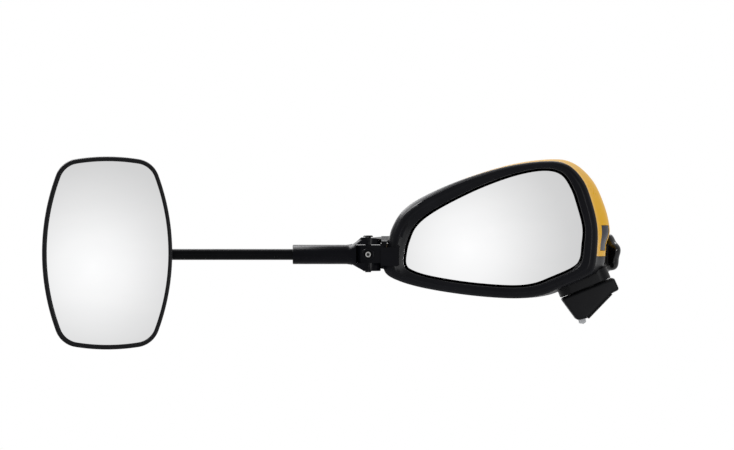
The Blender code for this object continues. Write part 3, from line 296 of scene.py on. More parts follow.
def offset_line(outline, distance):
    """A closed clockwise outline moved outwards by a distance, or inwards if it is negative."""
    made = []
    for i, place in enumerate(outline):
        along = (outline[(i + 1) % len(outline)] - outline[i - 1]).normalized()
        far = distance[i] if isinstance(distance, list) else distance
        made.append(place + Vector((-along.y, along.x)) * far)
    return made


def barrel_outline(inset, steps=14):
    """The extension head's outline: four shallow arcs with four round corners."""
    half_w, half_h = HEAD_HALF_W - inset, HEAD_HALF_H - inset
    side, top = HEAD_SIDE_RADIUS - inset, HEAD_TOP_RADIUS - inset
    corner = max(HEAD_CORNER_RADIUS - inset, 2.0)
    side_x, top_z = half_w - side, half_h - top
    r_side, r_top = side - corner, top - corner
    apart = hypot(side_x, top_z)
    along = (r_side ** 2 - r_top ** 2 + apart ** 2) / (2 * apart)
    off = sqrt(r_side ** 2 - along ** 2)
    ux, uz = -side_x / apart, top_z / apart
    corner_x, corner_z = side_x + along * ux - off * uz, along * uz + off * ux
    if corner_x < 0 or corner_z < 0:
        corner_x, corner_z = side_x + along * ux + off * uz, along * uz - off * ux
    low = atan2(corner_z, corner_x - side_x)
    high = atan2(corner_z - top_z, corner_x)
    quarter = []
    for x, z, radius, start, end in ((side_x, 0, side, 0, low),
                                     (corner_x, corner_z, corner, low, high),
                                     (0, top_z, top, high, pi / 2)):
        for k in range(steps):
            angle = start + (end - start) * k / steps
            quarter.append((x + radius * cos(angle), z + radius * sin(angle)))
    right = quarter + [(0.0, half_h)] + [(-x, z) for x, z in reversed(quarter)]
    return right + [(x, -z) for x, z in reversed(right[1:-1])]


def at_depth(outline, y):
    return [(p[0], y, p[1]) for p in outline]


GLASS_LINE = spline_outline(GLASS_EDGE)
BEZEL_LINE = spline_outline(BEZEL_EDGE)


def smooth(t):
    t = min(max(t, 0.0), 1.0)
    return t * t * (3 - 2 * t)


def housing_point(edge, stage):
    """A point of the housing's outside. Stage 0 is the front edge, 1 the widest line, 2 the pole."""
    inboard = min(max((edge[0] + 220) / 213, 0), 1)
    high = max((edge[1] - 78) / 65, 0)
    out = BULGE_X * (1 - 0.5 * high * high) - TUCK_X * smooth((73 - edge[1]) / 15)
    bulge = Vector((out * inboard, BULGE_Z * high))
    if stage <= 1:
        place = edge + bulge * smooth(stage) ** 0.8
        return Vector((place.x, FRONT_Y + (WIDE_Y - FRONT_Y) * stage, place.y))
    angle = (stage - 1) * pi / 2
    scale = max(cos(angle), 0.0) ** 0.75
    place = POLE + (edge + bulge - POLE) * scale
    return Vector((place.x, WIDE_Y + (BACK_Y - WIDE_Y) * sin(angle) ** 1.15, place.y))


# ---------------------------------------------------------------- materials
def node_of(tree, kind, **inputs):
    """Adds a shader node and sets its sockets, given by name with _ for a space."""
    made = tree.nodes.new(kind)
    for key, value in inputs.items():
        made.inputs[key.replace("_", " ")].default_value = value
    return made


def coordinates(tree, stretch=(1, 1, 1)):
    """Object coordinates, which are metres in the row frame, with a stretch for grain."""
    source = tree.nodes.new("ShaderNodeTexCoord")
    mapping = tree.nodes.new("ShaderNodeMapping")
    mapping.inputs["Scale"].default_value = stretch
    tree.links.new(source.outputs["Object"], mapping.inputs["Vector"])
    return mapping.outputs["Vector"]


def noise(tree, vector, per_metre, detail=3.0, rough=0.55):
    made = node_of(tree, "ShaderNodeTexNoise", Scale=per_metre, Detail=detail, Roughness=rough)
    tree.links.new(vector, made.inputs["Vector"])
    return made.outputs["Fac"]


def ranged(tree, value, low_in, high_in, low, high):
    """Maps a value to another range, clamped."""
    made = tree.nodes.new("ShaderNodeMapRange")
    made.inputs["From Min"].default_value = low_in
    made.inputs["From Max"].default_value = high_in
    made.inputs["To Min"].default_value = low
    made.inputs["To Max"].default_value = high
    tree.links.new(value, made.inputs["Value"])
    return made.outputs["Result"]


def ramp(tree, value, first, second, at=(0.35, 0.65)):
    """A colour that goes from one to another as a value rises."""
    made = tree.nodes.new("ShaderNodeValToRGB")
    made.color_ramp.elements[0].position, made.color_ramp.elements[1].position = at
    made.color_ramp.elements[0].color = (*first, 1)
    made.color_ramp.elements[1].color = (*second, 1)
    tree.links.new(value, made.inputs["Fac"])
    return made.outputs["Color"]


def bump(tree, height, depth_mm):
    made = node_of(tree, "ShaderNodeBump", Strength=1.0, Distance=depth_mm * MM)
    tree.links.new(height, made.inputs["Height"])
    return made.outputs["Normal"]


def maths(tree, operation, *values):
    """A math node whose values are sockets to link or constants."""
    made = tree.nodes.new("ShaderNodeMath")
    made.operation = operation
    for socket, value in zip(made.inputs, values):
        if isinstance(value, float):
            socket.default_value = value
        else:
            tree.links.new(value, socket)
    return made.outputs[0]


def new_material(name):
    """(material, its node tree, its Principled BSDF)"""
    made = bpy.data.materials.new(name)
    made.use_nodes = True
    return made, made.node_tree, made.node_tree.nodes["Principled BSDF"]


def finish(name, colours, roughness, metallic=0.0, *, cloud, grain, grain_depth,
           stretch=(1, 1, 1), scratches=0.0, **extra):
    """A material: clouded colour, uneven roughness, fine grain in relief and a few scratches.

    cloud and grain are in cells per metre, and grain_depth is in millimetres.
    """
    made, tree, shader = new_material(name)
    shader.inputs["Metallic"].default_value = metallic
    for key, value in extra.items():
        shader.inputs[key.replace("_", " ")].default_value = value
    broad = noise(tree, coordinates(tree), cloud, 4.0, 0.6)
    tree.links.new(ramp(tree, broad, *colours), shader.inputs["Base Color"])
    fine = noise(tree, coordinates(tree, stretch), grain, 2.0, 0.5)
    rough = ranged(tree, maths(tree, "ADD", broad, fine), 0.7, 1.3, *roughness)
    if scratches:
        lines = noise(tree, coordinates(tree, (1, 9, 9)), 260.0, 2.0, 0.6)
        marks = ranged(tree, lines, 0.62, 0.72, 0.0, 1.0)
        rough = maths(tree, "MULTIPLY_ADD", marks, scratches, rough)
    tree.links.new(rough, shader.inputs["Roughness"])
    tree.links.new(bump(tree, fine, grain_depth), shader.inputs["Normal"])
    return made


MATERIALS = {
    "yellow_paint": finish(
        "yellow_paint_coated", ((0.900, 0.470, 0.001), (0.940, 0.500, 0.002)), (0.26, 0.36),
        cloud=22.0, grain=420.0, grain_depth=0.0010, Specular_IOR_Level=0.08),
    "black_plastic": finish(
        "black_plastic_grained", ((0.0056, 0.0057, 0.0070), (0.0080, 0.0081, 0.0098)),
        (0.36, 0.50), cloud=34.0, grain=1500.0, grain_depth=0.0015, scratches=0.08,
        Specular_IOR_Level=0.13),
    "arm_plastic": finish(
        "arm_plastic_half_gloss", ((0.0034, 0.0035, 0.0054), (0.0050, 0.0051, 0.0074)),
        (0.22, 0.28), cloud=40.0, grain=1300.0, grain_depth=0.0003, scratches=0.04,
        Specular_IOR_Level=0.07),
    "bezel_plastic": finish(
        "bezel_plastic_satin", ((0.0064, 0.0066, 0.0088), (0.0088, 0.0090, 0.0118)),
        (0.26, 0.32), cloud=26.0, grain=1900.0, grain_depth=0.0003, scratches=0.03,
        Specular_IOR_Level=0.09),
    "gloss_black": finish(
        "gloss_black_moulded", ((0.003, 0.003, 0.0035), (0.005, 0.005, 0.0055)), (0.10, 0.18),
        cloud=60.0, grain=300.0, grain_depth=0.002, scratches=0.08, Coat_Weight=0.5,
        Coat_Roughness=0.06, Specular_IOR_Level=0.2),
    "black_steel": finish(
        "black_steel_coated", ((0.0018, 0.0019, 0.0028), (0.0030, 0.0031, 0.0042)),
        (0.22, 0.28), cloud=30.0, grain=700.0, grain_depth=0.0004, stretch=(0.15, 1, 1),
        scratches=0.04, Specular_IOR_Level=0.07),
    "rubber": finish(
        "rubber_matt", ((0.020, 0.020, 0.021), (0.030, 0.030, 0.031)), (0.72, 0.88),
        cloud=80.0, grain=2400.0, grain_depth=0.03),
    "bare_steel": finish(
        "bare_steel_turned", ((0.34, 0.34, 0.33), (0.44, 0.44, 0.43)), (0.22, 0.36), 1.0,
        cloud=120.0, grain=3000.0, grain_depth=0.004, stretch=(1, 0.2, 1), scratches=0.10),
    "die_cast": finish(
        "die_cast_blasted", ((0.40, 0.41, 0.42), (0.50, 0.51, 0.52)), (0.42, 0.58), 0.9,
        cloud=60.0, grain=1600.0, grain_depth=0.03),
    "grey_plastic": finish(
        "grey_plastic_matt", ((0.21, 0.21, 0.22), (0.27, 0.27, 0.28)), (0.46, 0.60),
        cloud=60.0, grain=1400.0, grain_depth=0.02),
    "white_nylon": finish(
        "white_nylon_moulded", ((0.70, 0.72, 0.74), (0.80, 0.81, 0.83)), (0.38, 0.52),
        cloud=90.0, grain=1800.0, grain_depth=0.006),
    "brass": finish(
        "brass_turned", ((0.62, 0.45, 0.18), (0.74, 0.56, 0.25)), (0.22, 0.38), 1.0,
        cloud=140.0, grain=3200.0, grain_depth=0.004),
}


def mirror_finish():
    """Silvered glass: all but perfect, with faint wipe marks and specks in its polish."""
    made, tree, shader = new_material("mirror_glass_silvered")
    shader.inputs["Metallic"].default_value = 1.0
    smears = noise(tree, coordinates(tree, (1, 1, 3)), 18.0, 5.0, 0.6)
    specks = noise(tree, coordinates(tree), 1300.0, 1.0, 0.5)
    tree.links.new(ramp(tree, smears, (0.985, 0.988, 0.990), (0.998, 0.999, 1.0)),
                   shader.inputs["Base Color"])
    haze = ranged(tree, smears, 0.40, 0.75, 0.004, 0.022)
    dust = ranged(tree, specks, 0.74, 0.80, 0.0, 0.05)
    tree.links.new(maths(tree, "ADD", haze, dust), shader.inputs["Roughness"])
    return made


def lens_finish():
    """Smoked lens: glossy and dark, with fine upright flutes behind a smooth face."""
    made, tree, shader = new_material("smoked_lens_fluted")
    flutes = tree.nodes.new("ShaderNodeTexWave")
    flutes.bands_direction = "Y"
    flutes.inputs["Scale"].default_value = 130.0
    flutes.inputs["Distortion"].default_value = 0.0
    tree.links.new(coordinates(tree), flutes.inputs["Vector"])
    tree.links.new(ramp(tree, flutes.outputs["Fac"], (0.010, 0.011, 0.022), (0.020, 0.021, 0.038),
                        (0.1, 0.9)), shader.inputs["Base Color"])
    tree.links.new(ranged(tree, noise(tree, coordinates(tree), 90.0), 0.3, 0.7, 0.12, 0.22),
                   shader.inputs["Roughness"])
    tree.links.new(bump(tree, flutes.outputs["Fac"], 0.02), shader.inputs["Normal"])
    shader.inputs["Specular IOR Level"].default_value = 0.12
    return made


MATERIALS["mirror_glass"] = mirror_finish()
MATERIALS["smoked_lens"] = lens_finish()


# ---------------------------------------------------------------- housing
PARTING_X, PARTING_Z, PARTING_SLOPE = -100, 47.5, 0.005  # where the cap meets the lower shell
PARTING_GAP = 0.2
HOUSING_STAGES = ([k / 12 for k in range(12)] + [1 + 0.9 * k / 22 for k in range(22)]
                  + [1.925, 1.95, 1.97, 1.985])


def housing_skin():
    bm = bmesh.new()
    rings = [[housing_point(edge, stage) for edge in BEZEL_LINE] for stage in HOUSING_STAGES]
    last = strips(bm, rings)[-1]
    fan(bm, last, bm.verts.new(housing_point(POLE, 2)))
    bmesh.ops.recalc_face_normals(bm, faces=bm.faces)
    return bm


def trim(bm, place, normal, faces=None, clear=True):
    """Cuts faces along a plane and, if asked, takes away the side that the normal points to.

    The geometry goes in as a dict, as a set's order would change from run to run.
    """
    chosen = list(bm.faces) if faces is None else faces
    geometry = dict.fromkeys(chosen)
    for face in chosen:
        geometry.update(dict.fromkeys([*face.edges, *face.verts]))
    bmesh.ops.bisect_plane(bm, geom=list(geometry), plane_co=place, plane_no=normal,
                           clear_outer=clear, dist=1e-4)


def lamp_faces(bm, margin, reach=0.0):
    """Faces of the inboard flank whose middles are in the lamp window."""
    found = []
    for face in bm.faces:
        middle = face.calc_center_median()
        inside_y = LAMP_Y[0] - margin - reach < middle.y < LAMP_Y[1] + margin + reach
        inside_z = LAMP_Z[0] - margin - reach < middle.z < LAMP_Z[1] + margin + reach
        if middle.x > -15 and inside_y and inside_z:
            found.append(face)
    return found


def cut_lamp_window(bm, margin):
    """Runs cuts along the four sides of the lamp window, in its neighbourhood only."""
    for axis, span in ((Y_AXIS, LAMP_Y), (Z_AXIS, LAMP_Z)):
        for side, at in ((-1, span[0] - margin), (1, span[1] + margin)):
            trim(bm, axis * at, axis * side, lamp_faces(bm, margin, 7.0), clear=False)


def cap_skin():
    """The part of the housing's skin that is painted, with the lamp window open."""
    bm = housing_skin()
    trim(bm, Vector((PARTING_X, 0, PARTING_Z + PARTING_GAP)), Vector((-PARTING_SLOPE, 0, -1)))
    cut_lamp_window(bm, GAP)
    bmesh.ops.delete(bm, geom=lamp_faces(bm, GAP), context="FACES")
    return bm


def make_cap():
    """The painted cap and, under it, an unpainted inner skin."""
    cap = piece("cap_painted", cap_skin(), "cap_shell", "yellow_paint", "housing", 60)
    solid(cap, HOUSING_WALL)
    soften(cap, 0.45, 3, 50)
    bm = cap_skin()
    bm.normal_update()
    for vert in bm.verts:
        vert.co -= vert.normal * (HOUSING_WALL + 0.1)
    solid(piece("cap_inner_skin", bm, "cap_shell", "black_plastic", "housing", 60), 0.3)


def make_lamp():
    bm = housing_skin()
    cut_lamp_window(bm, 0.0)
    kept = set(lamp_faces(bm, 0.0))
    bmesh.ops.delete(bm, geom=[f for f in bm.faces if f not in kept], context="FACES")
    for vert in bm.verts:
        vert.co.x -= 0.35
    made = piece("lamp_window", bm, "lamp_lens", "smoked_lens", "housing", 60)
    solid(made, 2.0)
    soften(made, 0.4, 3, 50)


def make_lower_shell():
    bm = housing_skin()
    trim(bm, Vector((PARTING_X, 0, PARTING_Z - PARTING_GAP)), Vector((PARTING_SLOPE, 0, 1)))
    made = piece("lower_moulding", bm, "lower_shell", "black_plastic", "housing", 60)
    solid(made, HOUSING_WALL)
    soften(made, 0.45, 3, 50)
    bm = bmesh.new()
    centre = FOLD_POINT - FOOT_ALONG * 2
    outer = rounded_rectangle(27.0, FOOT_HALF_Y, 12.0, 10)
    inner = rounded_rectangle(24.0, FOOT_HALF_Y - 3, 9.0, 10)
    levels = [(inner, 12.4), (inner, 0.5), (scaled_ring(outer, 0.4), 0.5), (outer, 0.9),
              (outer, 12.4)]
    strips(bm, [[centre + FOOT_ALONG * u + Y_AXIS * v + FOLD_AXIS * h for u, v in ring]
                for ring, h in levels], looped=True)
    piece("housing_neck", bm, "lower_shell", "black_plastic", "housing")


def scaled_ring(ring, inset):
    """A rounded rectangle's points drawn in towards its middle."""
    return [(u * (1 - inset / 27), v * (1 - inset / 28)) for u, v in ring]


# ---------------------------------------------------------------- bezel and main glass
def lip_width(point):
    """The black recess round the glass is wider at its outboard end."""
    return 4.4 + 4.0 * smooth((-150 - point.x) / 45)


def blended(share):
    return [a.lerp(b, share) for a, b in zip(GLASS_LINE, BEZEL_LINE)]


def make_bezel():
    """The frame round the glass: recess, face, a crease, and a band that falls to the cap."""
    lips = [lip_width(p) for p in GLASS_LINE]

    def off(line, *places):
        return [at_depth(offset_line(line, out), y) for out, y in places]

    def on_lip(*places):
        return [at_depth(offset_line(GLASS_LINE, [share * w for w in lips]), y)
                for share, y in places]

    rings = off(GLASS_LINE, (2.2, 25), (2.3, 9), (2.32, 2.8), (2.5, 2.4))
    rings += on_lip((0.6, 1.9), (0.9, 1.1), (1.2, 0.6))
    rings += [at_depth(blended(share), y)
              for share, y in ((0.51, 0.16), (0.565, 0.0), (0.62, 0.24), (0.80, 1.35))]
    rings += off(BEZEL_LINE, (-3.7, 2.1), (-3.0, 2.6), (-1.6, 4.0), (-0.4, 5.5), (-0.08, 6.2),
                 (0, FRONT_Y - GAP), (-4.1, FRONT_Y - GAP), (-4.1, 11), (-5.3, 11))
    rings += on_lip((0.9, 8)) + off(GLASS_LINE, (3.8, 9), (3.8, 25))
    bm = bmesh.new()
    strips(bm, rings, looped=True)
    piece("bezel_frame", bm, "bezel", "black_plastic", "housing", 50, "bezel_plastic")


def lens_sheet(name, outline, centre, sag_centre, front, thick, node, body):
    """A thin convex sheet, whose edge is ground to a small bevel."""
    shares = [1 - 0.006, 0.96, 0.88, 0.76, 0.62, 0.48, 0.34, 0.2, 0.08]
    bm = bmesh.new()

    def level(point, y):
        sag = (point - sag_centre).length_squared - (centre - sag_centre).length_squared
        return Vector((point.x, y + sag / (2 * GLASS_RADIUS), point.y))

    edge = [Vector(p) for p in outline]
    rings = [[level(centre + (p - centre) * s, front + thick) for p in edge] for s in (0.3, 1)]
    rings.append([level(p, front + 0.35) for p in edge])
    rings += [[level(centre + (p - centre) * s, front) for p in edge] for s in shares]
    made = strips(bm, rings)
    for ring, y in ((made[0], front + thick), (made[-1], front)):
        fan(bm, ring, bm.verts.new(level(centre, y)))
    return piece(name, bm, node, "mirror_glass", body, 25)


make_cap()
make_lamp()
make_lower_shell()
make_bezel()
pivot = Vector((GLASS_PIVOT.x, GLASS_PIVOT.z))
lens_sheet("main_mirror", GLASS_LINE, pivot, pivot, GLASS_Y, 2.0, "main_glass", "glass")


# ---------------------------------------------------------------- extension head
def head_ring(inset, y):
    return [(HEAD_CENTRE.x + x, y, HEAD_CENTRE.y + z) for x, z in barrel_outline(inset)]


def make_head():
    outline = [Vector(p) + HEAD_CENTRE for p in barrel_outline(3.35)]
    peak = HEAD_CENTRE + Vector((-12, 0))
    lens_sheet("head_mirror", outline, HEAD_CENTRE, peak, HEAD_FRONT_Y + 0.7, 2.0, "head_glass",
               "head")
    lip = [(3.1, 1.3), (4.2, 1.1), (4.25, 0.7), (4.05, 0.4), (3.3, 0.1), (2.1, 0), (1.3, 0.12),
           (0.75, 0.45), (0.3, 1.0), (0.06, 1.8)]
    rim = [(3.1, -14)] + [(inset, HEAD_FRONT_Y + depth) for inset, depth in lip]
    rim += [(0, -18.4), (0, -12.1), (0.15, -11.7), (0.5, -11.5), (1.6, -11.5), (1.6, -14)]
    bm = bmesh.new()
    rings = [head_ring(inset, y) for inset, y in rim]
    rings[2:6] = [[(x + 0.55, y, z) for x, y, z in ring] for ring in rings[2:6]]
    strips(bm, rings, looped=True)
    piece("head_rim_moulded", bm, "head_rim", "black_plastic", "head", 50)
    shell = [(1.9, -13.7), (1.9, -10.1), (2.2, -9.4), (2.9, -8.9), (4.2, -8.2), (6, -7.4),
             (9, -6.9), (16, -6.05), (26, -5.35), (34, SHELL_BACK_Y), (44, SHELL_BACK_Y)]
    inner = [(44, SHELL_FLOOR_Y), (36, SHELL_FLOOR_Y), (17, -8.6), (8, -10), (4.4, -12),
             (4.4, -13.7)]
    bm = bmesh.new()
    made = strips(bm, [head_ring(inset, y) for inset, y in shell])
    bm.faces.new(made[-1])
    far = strips(bm, [head_ring(inset, y) for inset, y in inner])
    bm.faces.new(far[0])
    bridge(bm, made[0], far[-1])
    piece("head_back_shell", bm, "head_shell", "black_plastic", "head", 30)
    make_head_socket()


def make_head_socket():
    """The ball's socket on the head's back: round flange, saddle, cap with ribs and ears."""
    ball = Vector((HEAD_CENTRE.x, ARM_Y, ARM_Z))
    middle_x = sum(SOCKET_X) / 2
    low, high = SHELL_BACK_Y + GAP, -1.7
    bm = bmesh.new()
    turned(bm, rounded(drum(29.5, low, high), 0.7), (middle_x, 0, ball.z), Y_AXIS, 96)
    block(bm, (SOCKET_X[0], low + 1, ball.z - 23), (SOCKET_X[1], ball.y - GAP / 2, ball.z + 23),
          2.5, 1)
    for side in (-1, 1):
        block(bm, (middle_x - 1.2, low + 1, ball.z + side * 24.5 - 3.5),
              (middle_x + 1.2, 3.0, ball.z + side * 24.5 + 3.5), 0.4, 1)
    plate = piece("socket_base", bm, "socket_plate", "black_plastic", "head")
    soften(plate, 0.4, 2, 60)
    bm = bmesh.new()
    arc = []
    for k in range(25):
        angle = pi * k / 24
        arc.append((ball.y + GAP / 2 + 1 + 13.3 * sin(angle) ** 0.8, ball.z - 14.9 * cos(angle)))
    profile = [(ball.y + GAP / 2, ball.z - 15)] + arc + [(ball.y + GAP / 2, ball.z + 15)]
    capped(bm, [[(x, y, z) for y, z in profile] for x in SOCKET_X])
    for side in (-1, 1):
        block(bm, (SOCKET_X[0] + 0.6, ball.y + GAP / 2 + 0.2, ball.z + side * 17 - 6),
              (SOCKET_X[1] - 0.6, ball.y + 4, ball.z + side * 17 + 6), 2.0, 1)
    cap = piece("socket_cap_ribbed", bm, "socket_cap", "black_plastic", "head")
    soften(cap, 0.5, 2, 60)


# ---------------------------------------------------------------- rod, sleeve and hinge
def make_rod():
    ball_x = HEAD_CENTRE.x
    low = 5.0 + GAP
    far = ROD_INNER_X - ball_x
    profile = rounded([(0, far), (ROD_RADIUS, far), (ROD_RADIUS, 22), (4.4, 20), (4.4, low),
                       (0, low)], 0.8)
    dense = []
    for first, second in zip(profile, profile[1:]):
        parts = max(int((second - first).length / 6), 1)
        dense += [first.lerp(second, k / parts) for k in range(parts)]
    dense.append(profile[-1])
    bm = bmesh.new()
    turned(bm, dense, (ball_x, ARM_Y, ARM_Z), X_AXIS, 64)
    piece("rod_coated", bm, "rod", "black_steel", "rod")


def ring_across(x, half_y, half_z, corner):
    return [(x, ARM_Y + u, ARM_Z + v) for u, v in rounded_rectangle(half_y, half_z, corner, 12)]


SLEEVE_SECTIONS = [  # (x, half width, half height, corner radius)
    (SLEEVE_END_X + 0.6, SLEEVE_RADIUS, SLEEVE_RADIUS, SLEEVE_RADIUS - 0.1),
    (-258, SLEEVE_RADIUS, SLEEVE_RADIUS, SLEEVE_RADIUS - 0.1),
    (-254, 10.0, 10.2, 9.2), (-250, 11.3, 12.0, 7.4), (-247, 11.9, 14.2, 6.0),
    (-244.5, 12.2, 15.7, 5.0), (-241, 12.3, 16.4, 4.4), (-238, 12.4, 16.6, 4.0),
]


SLEEVE_BORE = 7.2
PIN_RADIUS = 3.0
SLOT_GAP = 0.06  # under the tongue, where the photograph shows no gap
FORK_WEDGES = [  # (name, (x, z) outline), cut from the fork from front to back
    ("shoulder_top", [(-252.6, 58.9), (-248.9, 61.4), (-243.8, 65.7), (-243.8, 90), (-252.6, 90)]),
    ("shoulder_low", [(-252.6, 39.1), (-249.0, 37.0), (-241.4, 32.9), (-241.4, 10), (-252.6, 10)]),
    ("fork_fall", [(-236, 65.8), (-222, 63.9), (-222, 80), (-236, 80)]),
]


def make_sleeve():
    """The sleeve flares into a fork of two round plates, above and below the tongue."""
    bore = SLEEVE_BORE
    rings = [ring_across(SLEEVE_END_X + x, half, half, corner) for x, half, corner in (
        (14, bore, bore - 0.05), (0.5, bore, bore - 0.05), (0, bore + 0.4, bore + 0.3),
        (0, 8.9, 8.85), (0.15, 9.35, 9.3))]
    rings += [ring_across(*section) for section in SLEEVE_SECTIONS]
    body = helper("sleeve_body", "arm_plastic", capped, rings)
    low, high = TONGUE_Z[0] - SLOT_GAP, TONGUE_Z[1] + GAP
    bottom, top = FORK_Z

    def upright(name, profile, sides, y=ARM_Y):
        return helper(name, "arm_plastic", turned, profile, (HINGE_X, y, 0), Z_AXIS, sides)

    knuckle = upright("fork_round", rounded(drum(FORK_RADIUS, bottom, top), 0.9), 72)
    slot_round = upright("fork_slot_round", drum(TONGUE_RADIUS + GAP, low, high), 72)
    slot_open = helper("fork_slot_open", "arm_plastic", block, (-248.5, -30, low),
                       (-210, 50, high))
    pin_bore = upright("fork_pin_bore", drum(PIN_RADIUS + GAP, bottom - 5, top + 5), 48)
    ribs = [upright("fork_rib", drum(0.9, start, end), 20, ARM_Y - FORK_RADIUS + 0.25)
            for start, end in ((bottom + 0.7, low + 1), (high - 1, top - 0.7))]
    wedges = [helper(name, "arm_plastic", capped,
                     [at_depth(outline, y) for y in (ARM_Y - 20, ARM_Y + 20)])
              for name, outline in FORK_WEDGES]
    steps = joins(knuckle) + cuts(*wedges) + joins(*ribs) + cuts(slot_round, slot_open, pin_bore)
    merged = declared(baked("sleeve_fork", body, steps), "arm_sleeve", "arm")
    soften(merged, 0.35, 2, 50)


def joins(*helpers):
    return [("UNION", made) for made in helpers]


def cuts(*helpers):
    return [("DIFFERENCE", made) for made in helpers]


def baked(name, source, steps):
    """The shape of a mesh after a list of (operation, helper), as an object of its own."""
    for operation, tool in steps:
        made = source.modifiers.new("cut", "BOOLEAN")
        made.operation = operation
        made.object = tool
        made.solver = "EXACT"
    bpy.context.view_layer.update()
    graph = bpy.context.evaluated_depsgraph_get()
    mesh = bpy.data.meshes.new_from_object(source.evaluated_get(graph))
    for used in [source] + [tool for _, tool in steps]:
        bpy.data.objects.remove(used, do_unlink=True)
    shade(mesh, 40)
    return linked(name, mesh)


def make_outer_bracket():
    """Hinge tongue, screw boss, claw over the bezel, gusset above and lug for the band."""
    look = "arm_plastic"
    outline = [(HINGE_X + TONGUE_RADIUS * cos(radians(a)), ARM_Y + TONGUE_RADIUS * sin(radians(a)))
               for a in range(90, 271, 6)]
    outline += [(-221.4, ARM_Y - TONGUE_RADIUS), (-221.4, ARM_Y + TONGUE_RADIUS)]
    tongue = helper("tongue_block", look, capped,
                    [[(x, y, z) for x, y in outline] for z in TONGUE_Z])
    claw = helper("claw_block", look, block, *zip(CLAW_X, CLAW_Y, CLAW_Z), 1.2, 1)
    lug = helper("lug_block", look, block, (-227.0, 16, 40.9), (-224.7, 43, 58.1), 2.0, 0)
    back = [(-223.2, 56.5), (-218.6, 56.5), (-217.2, 63), (-215.8, 67.4), (-223.2, 67.4)]
    front = [(-223.2, 56.5), (-218.6, 56.5), (-217.3, 62.1), (-217.3, 62.2), (-223.2, 62.2)]
    gusset = helper("gusset_block", look, capped,
                    [at_depth(front, ARM_Y - 6), at_depth(back, ARM_Y + 8),
                     at_depth(back, ARM_Y + 14)])
    webs = []
    for name, outline, low, high in (
            ("web_block",
             [(13.5, 4), (13.5, 9), (6.8, 15.2), (-2, 23.4), (-2, 27), (24, 27), (24, 4)],
             lambda u, v: 60.5,
             lambda u, v: 65.1 - 0.085 * (u + 2) + 0.0076 * (v - 4) * (u + 4)),
            ("low_web_block",
             [(13.3, 2), (13.3, 9), (9.5, 13.4), (9.5, 17), (22, 17), (22, 2)],
             lambda u, v: 36.9 - 0.16 * u,
             lambda u, v: 42)):
        rings = [[(HINGE_X + u, ARM_Y + v, level(u, v)) for u, v in outline]
                 for level in (low, high)]
        webs.append(helper(name, look, capped, rings))
    face = ARM_Y - TONGUE_RADIUS - 2.2
    boss = helper("boss_block", look, turned, rounded(drum(6.3, face, face + 8), 0.7),
                  (HINGE_X, 0, ARM_Z), Y_AXIS, 64)
    seat = helper("seat_block", look, turned, drum(4.2, -12, SCREW_HEAD_Y + 4.3),
                  (HINGE_X, 0, ARM_Z), Y_AXIS, 64)
    merged = baked("bracket_moulding", tongue, joins(claw, lug, gusset, *webs, boss) + cuts(seat))
    soften(declared(merged, "outer_bracket", "housing"), 0.45, 3, 45)


def make_hinge_hardware():
    top = FORK_Z[1]
    bm = bmesh.new()
    profile = rounded([(0, top + 1.9), (4.2, top + 1.9), (5.0, top + 1.0), (5.0, top + GAP),
                       (PIN_RADIUS, top + GAP), (PIN_RADIUS, FORK_Z[0] - 1.2),
                       (0, FORK_Z[0] - 1.2)], 0.3)
    turned(bm, profile, (HINGE_X, ARM_Y, 0), Z_AXIS, 48)
    piece("hinge_pin_domed", bm, "hinge_pin", "black_steel", "housing")
    bm = bmesh.new()
    head = rounded([(2.7, 0), (3.2, 0.6), (3.2, 4.0), (2.2, 4.0), (2.2, 11)], 0.25)
    sides = 48
    turn = frame_along(Y_AXIS, (HINGE_X, SCREW_HEAD_Y, ARM_Z))
    socket = []
    for k in range(sides):
        angle = 2 * pi * k / sides
        flat = cos(pi / 6) / cos((angle % (pi / 3)) - pi / 6)
        socket.append((1.75 * flat * cos(angle), 1.75 * flat * sin(angle)))
    rings = [[turn @ Vector((u, v, depth)) for u, v in socket] for depth in (2.8, 0.0)]
    rings += [circle(turn, r, h, sides) for r, h in [(2.3, 0.0)] + [tuple(p) for p in head]]
    capped(bm, rings)
    piece("hinge_screw_socket_head", bm, "hinge_screw", "bare_steel", "housing")
    # A dark rubber disc set in the bottom of the hex socket as painted shade, so the socket reads
    # dark in its depth.
    bm = bmesh.new()
    turned(bm, rounded(drum(1.5, 1.0, 2.7), 0.2), (HINGE_X, SCREW_HEAD_Y, ARM_Z), Y_AXIS, 24)
    piece("hinge_screw_painted_shade_plug", bm, "hinge_screw", "rubber", "housing")


make_head()
make_rod()
make_sleeve()
make_outer_bracket()
make_hinge_hardware()


# ---------------------------------------------------------------- clamp round the housing
def band_place(side, stage):
    """(surface point, outward direction) in plan, on the clamp's level; side -1 is outboard."""
    edge = Vector((-219.0, 50.0)) if side < 0 else Vector((-7.6, 50.0))
    here = housing_point(edge, stage)
    before, after = housing_point(edge, stage - 0.02), housing_point(edge, stage + 0.02)
    tangent = Vector((after.x - before.x, after.y - before.y)).normalized()
    normal = Vector((tangent.y, -tangent.x)) if side > 0 else Vector((-tangent.y, tangent.x))
    return Vector((here.x, here.y)), normal


def hump(side, stage):
    if side < 0:
        return 0.0
    return BAND_HUMP * smooth(1 - abs(stage - SCREW_STAGE) / 0.34)


def stage_list(side, first, last, count):
    return [(side, first + (last - first) * k / (count - 1)) for k in range(count)]


def screw_frame():
    place, normal = band_place(1, SCREW_STAGE)
    return Vector((place.x, place.y, ARM_Z + 0.5)), Vector((normal.x, normal.y, 0))


